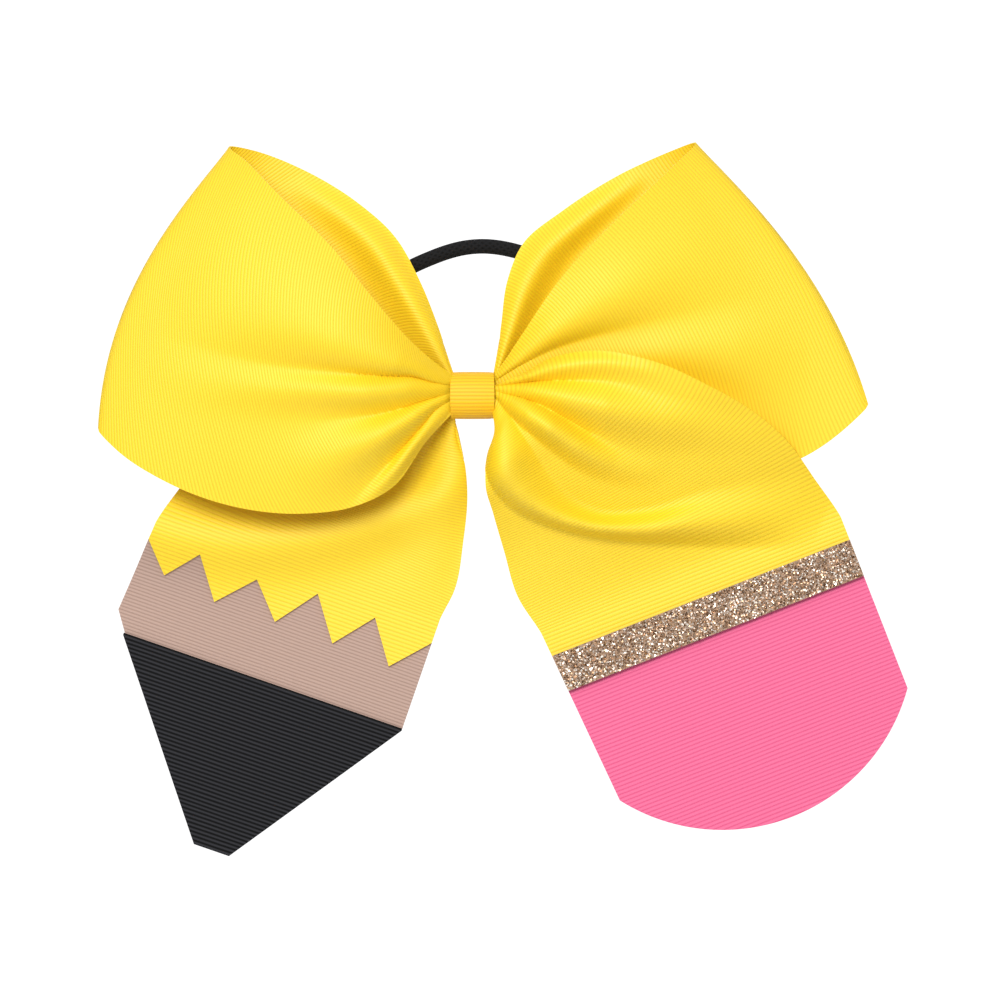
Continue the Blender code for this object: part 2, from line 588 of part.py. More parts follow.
def sleeve_solid(name, path, inner, outer, sides, material, pivot):
    """An open tube with a wall, along a short path."""
    tangent = np.gradient(path, axis=0)
    tangent /= np.linalg.norm(tangent, axis=1, keepdims=True)
    vertices = []
    for radius in (outer, inner):
        for point, way in zip(path, tangent):
            side_way = np.cross(way, [0, 1, 0])
            side_way /= np.linalg.norm(side_way)
            up_way = np.cross(way, side_way)
            for k in range(sides):
                angle = 2 * math.pi * k / sides
                vertices.append(point + radius * (math.cos(angle) * side_way + math.sin(angle) * up_way))
    rings = len(path)
    other = rings * sides
    faces = []
    for k in range(sides):
        n = (k + 1) % sides
        for i in range(rings - 1):
            a, b = i * sides, (i + 1) * sides
            faces.append((a + k, a + n, b + n, b + k))
            faces.append((other + b + k, other + b + n, other + a + n, other + a + k))
        last = (rings - 1) * sides
        faces.append((k, other + k, other + n, n))
        faces.append((last + n, other + last + n, other + last + k, last + k))
    return linked(name, mesh_of(name, vertices, faces), material, pivot)


# ---------------------------------------------------------------- the bow


def main():
    for obj in list(bpy.data.objects):
        bpy.data.objects.remove(obj)
    bow = bpy.data.objects.new("bow", None)
    bow.location = (0, PINCH_Y, 0)
    bpy.context.scene.collection.objects.link(bow)
    yellow = make_material("yellow_grosgrain", (0.98, 0.78, 0.05), 0.75)
    beige = make_material("beige_grosgrain", (0.62, 0.42, 0.34), 0.8)
    black = make_material("black_grosgrain", (0.02, 0.021, 0.025), 0.8)
    pink = make_material("pink_grosgrain", (0.98, 0.17, 0.38), 0.75)
    glitter = make_material("gold_glitter", (0.55, 0.42, 0.25), 0.35, 0.6)
    cord = make_material("black_elastic", (0.012, 0.012, 0.014), 0.85)
    sleeve = make_material("black_sleeve", (0.03, 0.03, 0.032), 0.5)
    thread = make_material("waxed_thread", (0.92, 0.78, 0.15), 0.6)
    glue = make_material("hot_melt_glue", (0.85, 0.82, 0.7), 0.4)
    make_left_loop(yellow)
    make_right_loop(yellow)
    make_left_tail(yellow, beige, black)
    make_right_tail(yellow, glitter, pink)
    make_gathers(yellow)
    make_thread(thread)
    make_wrap(yellow, glue)
    make_elastic(cord, sleeve)


main()
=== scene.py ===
"""Looks of the cheer hair bow: folded grosgrain ribbons, glitter band, wrap and hair elastic.

The CAD gives the sizes and places. The ribbons here run along the same selvedges as its solids,
with the folds, ribs and thin edges of real grosgrain. Lengths are in metres, and the shapes are
worked out about the middle of the pinch, PINCH_Y behind the row frame's origin plane.
"""

import math

import bmesh
import bpy
import numpy as np
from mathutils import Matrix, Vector


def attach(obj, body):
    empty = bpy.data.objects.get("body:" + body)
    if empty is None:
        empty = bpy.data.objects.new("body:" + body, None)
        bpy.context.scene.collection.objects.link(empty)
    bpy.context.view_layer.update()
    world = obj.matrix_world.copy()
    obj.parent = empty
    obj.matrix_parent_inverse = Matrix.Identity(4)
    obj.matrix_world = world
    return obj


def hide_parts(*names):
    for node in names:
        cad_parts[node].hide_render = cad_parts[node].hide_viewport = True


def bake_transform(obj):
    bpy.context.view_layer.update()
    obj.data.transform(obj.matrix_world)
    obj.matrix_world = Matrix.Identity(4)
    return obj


MM = 0.001
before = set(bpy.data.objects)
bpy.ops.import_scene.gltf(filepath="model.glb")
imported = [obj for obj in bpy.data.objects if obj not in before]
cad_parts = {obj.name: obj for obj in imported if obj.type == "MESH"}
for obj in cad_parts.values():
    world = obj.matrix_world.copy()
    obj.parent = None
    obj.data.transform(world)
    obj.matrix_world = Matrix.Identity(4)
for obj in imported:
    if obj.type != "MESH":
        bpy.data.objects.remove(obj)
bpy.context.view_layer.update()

# ---------------------------------------------------------------- sizes, as in the CAD
RIBBON_WIDTH = 75 * MM
THICKNESS = 0.42 * MM
LAYER_STEP = 0.8 * MM  # from one glued layer to the next
PINCH_Y = -9.75 * MM
LOOP_DEPTH = 19 * MM
RIGHT_LOOP_DEPTH = 12.5 * MM
TAIL_DROP = 8.5 * MM
GATHER_HALF = 3.9 * MM
ROOT_X = 4.6 * MM  # just inside the wrap, so that no gap shows beside it
FRONT_PASS_Y, MIDDLE_PASS_Y, BACK_PASS_Y = -1.8 * MM, 0.0, 1.8 * MM
WRAP_WIDTH = 10.4 * MM
WRAP_HALF_HEIGHT = 5.35 * MM
WRAP_FRONT_Y, WRAP_BACK_Y = -4.2 * MM, 8.1 * MM
WRAP_LAP = 5 * MM
LAP_STEP = 1.4 * MM
ELASTIC_Y = 5.75 * MM
ELASTIC_DIAMETER = 3.6 * MM
LEFT_RUN, RIGHT_RUN = (-0.326, -0.9454), (0.364, -0.9314)  # the ways the tails run, in (x, z)
# where each tail's inner selvedge ends, as (x, z) in ribbon widths
LEFT_INNER_CORNER, RIGHT_INNER_CORNER = (-0.232, -1.081), (0.472, -1.314)
WOOD_LENGTH, POINT_LENGTH, UNDERLAP = 22 * MM, 43 * MM, 6 * MM
TOOTH_COUNT, TOOTH_DEPTH, FIRST_TOOTH = 5, 8.8 * MM, 0.36
POINT_TIP, POINT_LEAN, POINT_SHOULDER = 9.0 * MM, 3.3 * MM, 4.6 * MM
FIRST_EDGE_OFF = -4.0 * MM  # the teeth are hand-cut, so each stands a little off an even zigzag
TIPS_OFF = [-3.2 * MM, -1.0 * MM, -1.2 * MM, -0.8 * MM, 0.0]
TIPS_ASIDE = [0.02, 0.0, 0.004, 0.0, -0.006]
ROOTS_OFF = [-2.1 * MM, -0.8 * MM, -2.3 * MM, -1.3 * MM]
BAND_WIDTH, ERASER_LENGTH, ERASER_CROWN = 9.4 * MM, 29.3 * MM, 18.9 * MM
RIB_PITCH = 0.95 * MM
EDGE_STEP = 0.3 * MM  # between the edges of layers that would otherwise end on one line

# ---------------------------------------------------------------- folds
# The gathers open out from the pinch in lobes, each a forward bulge between two creases. A crease
# is a line of (x, z) in millimetres from the pinch outwards. A lobe is (crease below, crease above,
# where its crest lies between them, its heights as (distance from the pinch, height) in millimetres).

LEFT_TOP = [(-5.2, 3.6), (-14.9, 12.2), (-24.4, 23), (-34, 35), (-48, 48), (-58, 60)]
LEFT_A = [(-5.4, 2.1), (-10, 2.9), (-14.1, 4.1), (-21.7, 4.4), (-35, 5.4), (-50.6, 6.8), (-66, 10),
          (-84, 15)]
LEFT_B = [(-5.4, 0.3), (-11.9, -1.7), (-17.8, -3.7), (-23.5, -5.1), (-33.1, -6.3), (-48, -8), (-80, -10)]
LEFT_C = [(-5.4, -1.4), (-9.1, -3.7), (-12.7, -7.9), (-15.8, -11.4), (-21.2, -17.5), (-26, -22.5),
          (-36, -33)]
LEFT_BOTTOM = [(-5.2, -3.6), (-8, -7.0), (-11.6, -11.3), (-19.4, -22.2), (-26, -29), (-36, -42)]
LEFT_LOOP_LOBES = [
    (LEFT_A, LEFT_TOP, 0.32, [(6, 0.2), (10, 1.2), (20, 3.5), (35, 3.5), (50, 2.2), (72, 0)]),
    (LEFT_B, LEFT_A, 0.56, [(6, 0.2), (9, 1.0), (16, 2.9), (26, 3.9), (40, 2.1), (58, 0.7), (75, 0)]),
    (LEFT_C, LEFT_B, 0.52, [(6, 0.3), (9, 1.4), (15, 3.6), (24, 4.8), (34, 3.1), (48, 0.8), (62, 0)]),
    (LEFT_BOTTOM, LEFT_C, 0.5, [(6, 0.3), (9, 1.0), (16, 2.1), (24, 2.7), (32, 1.4), (42, 0)]),
]
RIGHT_TOP = [(5.2, 3.2), (11.2, 4.5), (17.9, 8.2), (27.9, 10.3), (42.8, 8), (57, 1.8), (68, -4.6)]
RIGHT_A = [(5.2, 1.9), (14.1, 2.9), (24.8, 3.2), (32, 3.0), (45, 1), (70, -6)]
RIGHT_B = [(5.2, 0.7), (13.1, -1.5), (20.1, -4.9), (27, -8.8), (34.1, -12.2), (41.2, -14.1), (55, -15.6),
           (76, -17)]
RIGHT_C = [(5.2, -0.9), (9.8, -6.2), (14.6, -10.3), (19.5, -14.4), (25, -18.5), (33, -22), (44, -25)]
RIGHT_MID = [(5.2, -0.9), (9.5, -6.6), (13.2, -12), (17.4, -18.4), (23, -24.4), (31, -28), (43, -27),
             (58, -22), (80, -18)]
RIGHT_D = [(4.6, -3.4), (4.3, -8), (3.3, -14), (3.4, -19.8), (8, -26.5), (16, -31), (26, -34), (40, -36),
           (60, -37), (80, -37)]
RIGHT_TAIL_LOBES = [
    (RIGHT_A, RIGHT_TOP, 0.58, [(6, 0.3), (9, 1.2), (14, 3.0), (22, 3.5), (32, 1.9), (46, 0)]),
    (RIGHT_B, RIGHT_A, 0.52,
     [(6, 0.3), (9, 1.1), (14, 2.7), (22, 4.5), (32, 4.9), (44, 2.2), (56, 0.9), (72, 0)]),
    (RIGHT_C, RIGHT_B, 0.5, [(6, 0.4), (9, 2.3), (14, 5.6), (20, 6.6), (28, 5.2), (38, 1.8), (50, 0)]),
    (RIGHT_D, RIGHT_MID, 0.36,
     [(6, 0.5), (10, 2.8), (18, 5.6), (26, 6.6), (36, 6.6), (55, 6.2), (72, 3.6), (90, 0)]),
]
RIGHT_LOOP_A = [(5.2, 3.4), (12, 7.5), (19.2, 11.0), (29.4, 14.0), (41.2, 16.5), (56, 20), (80, 26)]
RIGHT_LOOP_TOP = [(5.2, 3.9), (11.2, 13.5), (21.2, 28.2), (34.6, 42.2), (48, 55)]
RIGHT_LOOP_LOW = [(5.2, 1.0), (14, 2), (30, 2), (50, -1), (75, -8)]
RIGHT_LOOP_LOBES = [
    (RIGHT_LOOP_A, RIGHT_LOOP_TOP, 0.4, [(6, 0.2), (12, 1.2), (24, 2.6), (40, 2.2), (56, 0.8), (70, 0)]),
    (RIGHT_LOOP_LOW, RIGHT_LOOP_A, 0.5, [(6, 0), (24, 0.4), (45, 1.8), (62, 1.6), (78, 0)]),
]
LEFT_BACK_LOBES = [
    (LEFT_TOP, [(-5.2, 4.0), (-8.5, 15.4), (-13.3, 27.6), (-19.3, 38.3), (-27.6, 46), (-42, 55)],
     0.6, [(6, 0.3), (14, 2.2), (26, 4.2), (40, 4.6), (54, 2.6), (68, 0)]),
]
RIGHT_BACK_LOBES = [
    (RIGHT_LOOP_TOP, [(5.2, 4), (6.7, 16.5), (8.2, 27.6), (11.9, 36.6), (21.2, 44.3), (34.6, 52.9)],
     0.55, [(6, 0.2), (14, 1.8), (26, 3.6), (40, 4.0), (54, 2.4), (68, 0)]),
]
LEFT_TAIL_LOBES = [
    ([(-4.6, -3.6), (-4.4, -9.8), (-2.4, -17), (-1.8, -24), (-2.8, -36), (-5, -48)],
     [(-5.2, -1.6), (-6.8, -6.3), (-10, -11), (-14, -20), (-20, -32), (-30, -50)],
     0.4, [(6, 0.2), (10, 1.0), (20, 1.8), (34, 1.4), (55, 0)]),
]
LOBES_SOFTEN = 10, 42  # millimetres from the pinch over which the creases turn from sharp to soft
CREASE_POINTS = 120
LEAST_LOBE = 1e-3  # radians, of a lobe's width where its creases meet


def bearing(x, z, side):
    """The angle of a point about the pinch, up from the way its side runs."""
    return np.arctan2(z, x * side)


def lobe_bulge(x, z, lobes, side):
    """How far forward the lobes stand at each (x, z). side is -1 where they run left and 1 right."""
    away, angle = np.hypot(x, z) / MM, bearing(x, z, side)
    total = np.zeros_like(x)
    start, end = LOBES_SOFTEN
    soft = np.clip((away - start) / (end - start), 0, 1)
    for below, above, crest, heights in lobes:
        edge = []
        for crease in (below, above):
            px, _, pz = smooth_curve([(px, 0, pz) for px, pz in crease], CREASE_POINTS).T
            edge.append(np.interp(away, np.hypot(px, pz), bearing(px, pz, side)))
        share = np.clip((angle - edge[0]) / np.maximum(edge[1] - edge[0], LEAST_LOBE), 0, 1)
        power = math.log(0.5) / math.log(crest)
        share = share**power
        rounded = 4 * share * (1 - share)
        smooth = np.sin(math.pi * share) ** 2
        reach, height = zip(*heights)
        total += np.interp(away, reach, height) * (rounded * (1 - soft) + smooth * soft)
    return total * MM


# ---------------------------------------------------------------- curves
POINTS_PER_KNOT = 80


def hermite(t, first, first_slope, last, last_slope):
    """From first at t = 0 to last at t = 1, with these slopes at its ends."""
    return (
        (2 * t**3 - 3 * t**2 + 1) * first
        + (t**3 - 2 * t**2 + t) * first_slope
        + (3 * t**2 - 2 * t**3) * last
        + (t**3 - t**2) * last_slope
    )


def smooth_curve(points, count):
    """A curve through the points, as count points evenly spaced along it."""
    knots = np.array(points, float)
    step = np.maximum(np.linalg.norm(np.diff(knots, axis=0), axis=1), 1e-9)
    at = np.concatenate([[0], np.cumsum(step)])
    slope = np.diff(knots, axis=0) / step[:, None]
    tangent = np.empty_like(knots)
    tangent[0], tangent[-1] = slope[0], slope[-1]
    before, after = step[:-1, None], step[1:, None]
    tangent[1:-1] = (after * slope[:-1] + before * slope[1:]) / (before + after)
    fine = np.linspace(0, at[-1], POINTS_PER_KNOT * len(knots))
    i = np.clip(np.searchsorted(at, fine, side="right") - 1, 0, len(step) - 1)
    h = step[i][:, None]
    t = ((fine - at[i]) / step[i])[:, None]
    return evenly(hermite(t, knots[i], h * tangent[i], knots[i + 1], h * tangent[i + 1]), count)


def lengths(line):
    """How far along the line each of its points is."""
    return np.concatenate([[0], np.cumsum(np.linalg.norm(np.diff(line, axis=0), axis=1))])


def evenly(line, count):
    """The same line as count points evenly spaced along it."""
    along = lengths(line)
    at = np.linspace(0, along[-1], count)
    return np.stack([np.interp(at, along, line[:, k]) for k in range(3)], axis=1)


def at_shares(line, shares):
    """Points of an evenly spaced line at these shares of its length."""
    where = np.asarray(shares) * (len(line) - 1)
    return np.stack([np.interp(where, np.arange(len(line)), line[:, k]) for k in range(3)], axis=-1)


def eased(line, times):
    """The same points with their small kinks smoothed out a number of times, ends kept."""
    line = line.copy()
    for _ in range(times):
        line[1:-1] = 0.25 * line[:-2] + 0.5 * line[1:-1] + 0.25 * line[2:]
    return line


def selvedge(points):
    """Control points (x, depth, z): x and z in ribbon widths, depth in millimetres."""
    return [(x * RIBBON_WIDTH, y * MM, z * RIBBON_WIDTH) for x, y, z in points]


def root(side, pass_y, up):
    """Where a pass of the ribbon leaves the pinch, at the share up of the gathers' half height."""
    return (side * ROOT_X, pass_y, up * GATHER_HALF)


# ---------------------------------------------------------------- meshes
SHARP_DEGREES = 60


def linked(name, mesh, *materials):
    """The mesh as an object in the scene, with its materials."""
    obj = bpy.data.objects.new(name, mesh)
    for material in materials:
        mesh.materials.append(material)
    bpy.context.scene.collection.objects.link(obj)
    return obj


def grid_normals(grid):
    """The grid's normals, with most of them facing the front."""
    normal = np.cross(np.gradient(grid, axis=0), np.gradient(grid, axis=1))
    normal /= np.maximum(np.linalg.norm(normal, axis=2, keepdims=True), 1e-12)
    return normal * -np.sign(normal[..., 1].mean())


def rib_place(first, second, along, share):
    """Each point's place along the flat ribbon, so that its ribs meet both selvedges square.

    first and second are the selvedges, and along is how far along them each row starts and ends.
    """
    span = second - first
    slopes = []
    for line in (first, second):
        way = np.gradient(line, axis=0)
        way /= np.maximum(np.linalg.norm(way, axis=1, keepdims=True), 1e-9)
        slopes.append((span * way).sum(axis=1)[:, None])
    return hermite(share[None], along[:, None], slopes[0], along[:, None], slopes[1])


def finished(name, mesh, material):
    """The closed mesh with its faces turned outwards and shaded smooth, as an object."""
    bm = bmesh.new()
    bm.from_mesh(mesh)
    bmesh.ops.recalc_face_normals(bm, faces=bm.faces)
    if bm.calc_volume(signed=True) < 0:
        bmesh.ops.reverse_faces(bm, faces=bm.faces)
    bm.to_mesh(mesh)
    bm.free()
    mesh.shade_smooth()
    mesh.set_sharp_from_angle(angle=math.radians(SHARP_DEGREES))
    return linked(name, mesh, material)


def ribbon(name, grid, across, along, material, layer=0, normal=None):
    """A closed ribbon about a grid of points.

    across and along give each point's place on the flat ribbon, and layer how many layers it stands
    in front of the grid.
    """
    rows, columns = grid.shape[:2]
    normal = grid_normals(grid) if normal is None else normal
    middle = grid + normal * (layer * LAYER_STEP)
    half = THICKNESS / 2
    front, back = middle + normal * half, middle - normal * half
    vertices = np.concatenate([front.reshape(-1, 3), back.reshape(-1, 3)])
    vertices[:, 1] += PINCH_Y
    other = rows * columns
    i, j = np.meshgrid(np.arange(rows - 1), np.arange(columns - 1), indexing="ij")
    a = (i * columns + j).ravel()
    b = a + columns
    faces = np.concatenate([
        np.stack([a, b, b + 1, a + 1], axis=1),
        np.stack([other + a + 1, other + b + 1, other + b, other + a], axis=1),
    ])
    top = np.arange(columns)
    right = np.arange(1, rows) * columns + columns - 1
    bottom = (rows - 1) * columns + np.arange(columns - 2, -1, -1)
    left = np.arange(rows - 2, 0, -1) * columns
    rim = np.concatenate([top, right, bottom, left])
    after = np.roll(rim, -1)
    faces = np.concatenate([faces, np.stack([rim, after, other + after, other + rim], axis=1)])
    mesh = bpy.data.meshes.new(name)
    mesh.from_pydata(vertices.tolist(), [], faces.tolist())
    place = np.tile(np.stack([across.ravel(), along.ravel()], axis=1), (2, 1))
    loops = np.empty(len(mesh.loops), int)
    mesh.loops.foreach_get("vertex_index", loops)
    mesh.uv_layers.new(name="cloth").data.foreach_set("uv", place[loops].ravel().astype(np.float32))
    return finished(name, mesh, material)


def tube(name, path, radius, sides, material, closed=False):
    """A round tube along a path, with its UV running round and along it in metres."""
    path = np.array(path)
    count = len(path)
    if closed:
        tangent = np.roll(path, -1, axis=0) - np.roll(path, 1, axis=0)
    else:
        tangent = np.gradient(path, axis=0)
    tangent /= np.linalg.norm(tangent, axis=1, keepdims=True)
    angle = np.linspace(0, 2 * math.pi, sides, endpoint=False)
    vertices = []
    side_way = np.cross(tangent[0], [0.0, 1.0, 0.0])
    for point, way in zip(path, tangent):
        side_way = side_way - way * np.dot(side_way, way)
        side_way /= np.linalg.norm(side_way)
        up_way = np.cross(way, side_way)
        spoke = np.cos(angle)[:, None] * side_way + np.sin(angle)[:, None] * up_way
        vertices.append(point + radius * spoke)
    vertices = np.concatenate(vertices)
    vertices[:, 1] += PINCH_Y
    faces = []
    for i in range(count if closed else count - 1):
        n = (i + 1) % count
        for k in range(sides):
            m = (k + 1) % sides
            faces.append((i * sides + k, i * sides + m, n * sides + m, n * sides + k))
    if not closed:
        faces.append(tuple(range(sides)))
        faces.append(tuple(range((count - 1) * sides, count * sides))[::-1])
    mesh = bpy.data.meshes.new(name)
    mesh.from_pydata(vertices.tolist(), [], faces)
    along = lengths(path)
    step = along[1] - along[0]
    layer = mesh.uv_layers.new(name="cloth").data
    for polygon in mesh.polygons:
        index = polygon.index
        for corner, loop in enumerate(polygon.loop_indices):
            i, k = divmod(index, sides)
            turn = (k + (corner in (1, 2))) / sides
            layer[loop].uv = (turn * 2 * math.pi * radius, i * step + (step if corner in (2, 3) else 0))
    return finished(name, mesh, material)


# ---------------------------------------------------------------- materials


def linear(*rgb):
    """An sRGB colour, 0 to 255, as linear values with alpha."""
    return tuple(c / 255 / 12.92 if c <= 10 else ((c / 255 + 0.055) / 1.055) ** 2.4 for c in rgb) + (1.0,)


class Nodes:
    """Short ways to build a material's nodes."""

    def __init__(self, name, roughness, **sockets):
        self.material = bpy.data.materials.new(name)
        self.material.use_nodes = True
        self.tree = self.material.node_tree
        self.shader = self.tree.nodes["Principled BSDF"]
        self.shader.inputs["Roughness"].default_value = roughness
        for socket, value in sockets.items():
            self.shader.inputs[socket.replace("_", " ")].default_value = value

    def put(self, socket, value):
        """Links a socket to the input, or sets the input to a value."""
        if isinstance(value, bpy.types.NodeSocket):
            self.tree.links.new(value, socket)
        elif value is not None:
            socket.default_value = value

    def math(self, operation, a, b=None):
        node = self.tree.nodes.new("ShaderNodeMath")
        node.operation = operation
        for socket, value in zip(node.inputs, (a, b)):
            self.put(socket, value)
        return node.outputs[0]

    def ribs(self, place, pitch):
        """Rounded ridges a pitch apart along place, from 0 between them to 1 on top."""
        wave = self.math("SINE", self.math("MULTIPLY", place, math.pi / pitch))
        return self.math("ABSOLUTE", wave)

    def cloth(self):
        """(across, along) on the flat ribbon, in metres."""
        node = self.tree.nodes.new("ShaderNodeUVMap")
        node.uv_map = "cloth"
        split = self.tree.nodes.new("ShaderNodeSeparateXYZ")
        self.put(split.inputs[0], node.outputs[0])
        return split.outputs[0], split.outputs[1]

    def scaled(self, x, y, x_scale, y_scale):
        """The vector (x * x_scale, y * y_scale)."""
        node = self.tree.nodes.new("ShaderNodeCombineXYZ")
        products = self.math("MULTIPLY", x, x_scale), self.math("MULTIPLY", y, y_scale)
        for socket, value in zip(node.inputs, products):
            self.put(socket, value)
        return node.outputs[0]

    def noise(self, vector, scale, detail):
        node = self.tree.nodes.new("ShaderNodeTexNoise")
        self.put(node.inputs["Vector"], vector)
        node.inputs["Scale"].default_value = scale
        node.inputs["Detail"].default_value = detail
        return node.outputs["Fac"]

    def mix(self, factor, a, b):
        node = self.tree.nodes.new("ShaderNodeMix")
        node.data_type = "RGBA"
        self.put(node.inputs["Factor"], factor)
        self.put(node.inputs["A"], a)
        self.put(node.inputs["B"], b)
        return node.outputs["Result"]

    def bump(self, height, distance):
        node = self.tree.nodes.new("ShaderNodeBump")
        self.put(node.inputs["Height"], height)
        node.inputs["Distance"].default_value = distance
        node.inputs["Strength"].default_value = 1.0
        self.put(self.shader.inputs["Normal"], node.outputs[0])


THREAD_SCALE = 3200.0, 900.0  # per metre across and along, of the grain of the ribs' threads
THREAD_RELIEF = 0.35  # of a rib's height
WANDER_SCALE = 60.0, 200.0  # per metre across and along, of the ribs' unevenness
WANDER = 0.25 * MM


def grosgrain(name, colour, furrow_shade, pitch=RIB_PITCH, depth=0.08 * MM, roughness=0.8, gloss=0.25, crown=0.7):
    """Ribs across the ribbon, a pitch apart, with a darker colour between them: painted shade in the
    furrows.

    A low crown makes the ribs broad and the furrows narrow.
    """
    n = Nodes(name, roughness, Specular_IOR_Level=gloss)
    across, along = n.cloth()
    thread = n.noise(n.scaled(across, along, *THREAD_SCALE), 1.0, 1.0)
    wander = n.noise(n.scaled(across, along, *WANDER_SCALE), 1.0, 1.0)
    shifted = n.math("ADD", along, n.math("MULTIPLY", n.math("SUBTRACT", wander, 0.5), WANDER))
    rib = n.math("POWER", n.ribs(shifted, pitch), crown)
    grain = n.math("MULTIPLY", n.math("SUBTRACT", thread, 0.5), THREAD_RELIEF)
    # The colour darkens from the rib tops into the furrows: painted shade between the ribs.
    n.put(n.shader.inputs["Base Color"], n.mix(rib, furrow_shade, colour))
    n.bump(n.math("ADD", rib, grain), depth)
    return n.material


BRAID_STRANDS = 16  # round the elastic, half of them slanting each way
BRAID_STEP = 0.9 * MM


def elastic_material():
    """A braided black sheath: two sets of diagonal strands."""
    n = Nodes("braided_elastic", 0.85, Specular_IOR_Level=0.2)
    round_it, along = n.cloth()
    turns = n.math("MULTIPLY", round_it, BRAID_STRANDS / (math.pi * ELASTIC_DIAMETER))
    run = n.math("MULTIPLY", along, 1 / BRAID_STEP)
    one = n.ribs(n.math("ADD", turns, run), 2)
    two = n.ribs(n.math("SUBTRACT", turns, run), 2)
    height = n.math("MAXIMUM", one, two)
    # Darker between the strands than on them: painted shade in the braid's hollows.
    n.put(n.shader.inputs["Base Color"], n.mix(height, (0.002, 0.002, 0.002, 1), (0.009, 0.009, 0.010, 1)))
    n.bump(height, 0.25 * MM)
    return n.material


def plain(name, colour, roughness, grain_scale=900.0, bump_depth=0.0, **sockets):
    """One colour with a fine grain, which stands out as well where bump_depth says so."""
    n = Nodes(name, roughness, **sockets)
    coordinates = n.tree.nodes.new("ShaderNodeTexCoord")
    grain = n.noise(coordinates.outputs["Object"], grain_scale, 3.0)
    darker = tuple(0.8 * c for c in colour[:3]) + (1.0,)
    n.put(n.shader.inputs["Base Color"], n.mix(grain, darker, colour))
    if bump_depth:
        n.bump(grain, bump_depth)
    return n.material


# The second colour of each grosgrain is darker: painted shade in the furrows between its ribs.
YELLOW = grosgrain(
    "yellow_grosgrain", (0.93, 0.67, 0.005, 1), (0.88, 0.53, 0.002, 1), roughness=0.6, gloss=0.75,
)
# The wrap's yellow is a darker, more orange copy of the loops' yellow: painted shade on the wrap. Its second
# colour, darker still, is painted shade between its ribs.
WRAP_YELLOW_SHADED = grosgrain(
    "wrap_grosgrain_shaded", (0.90, 0.55, 0.003, 1), (0.80, 0.37, 0.001, 1),
    pitch=0.88 * MM, depth=0.07 * MM, roughness=0.6, gloss=0.5,
)
# Its second colour is painted shade in the furrows.
NUDE = grosgrain("nude_grosgrain", linear(184, 156, 143), linear(154, 126, 114), pitch=0.81 * MM)
# Its furrows are pure black and widened by the high crown: painted shade between the ribs, which stands in
# for the ribs' shading and sheen.
BLACK = grosgrain(
    "black_grosgrain", linear(49, 49, 53), linear(0, 0, 0), depth=0.16 * MM, gloss=0.15, crown=2.0,
)
# Its second colour is painted shade in the furrows.
PINK = grosgrain("pink_grosgrain", linear(236, 112, 152), linear(216, 82, 126))
ELASTIC = elastic_material()
SLEEVE = plain("black_sleeve", (0.02, 0.02, 0.022, 1), 0.45)
THREAD = plain("waxed_thread", (0.92, 0.7, 0.08, 1), 0.6, 2500.0, 0.05 * MM)
GLUE = plain("hot_melt_glue", (0.85, 0.8, 0.66, 1), 0.35, 400.0, 0.05 * MM, Transmission_Weight=0.3)
GLITTER_BASE = plain("glitter_base", linear(158, 128, 104), 0.5, 1500.0, 0.1 * MM, Metallic=0.7)
FLAKES = [
    plain("flake_pale", linear(236, 214, 196), 0.28, Metallic=1.0),
    plain("flake_gold", linear(192, 156, 124), 0.3, Metallic=1.0),
    plain("flake_deep", linear(142, 106, 80), 0.32, Metallic=1.0),
    plain("flake_white", linear(255, 250, 240), 0.35),
]

# ---------------------------------------------------------------- loops


LOOP_ROWS, LOOP_COLUMNS = 96, 84  # of a panel, from the pinch to the fold, and across it
ROW_CROWDING = 1.15  # above 1, the rows stand closer near the pinch
ARCH_CROWDING = 1.15  # above 1, the loop's arch leans to its lower selvedge
PANEL_FADE = 6  # how quickly a panel's own lobes start from the fold
FOLD_SPREAD = 0.34  # of a panel, over which the fold bulges
SELVEDGE_EASING = 60


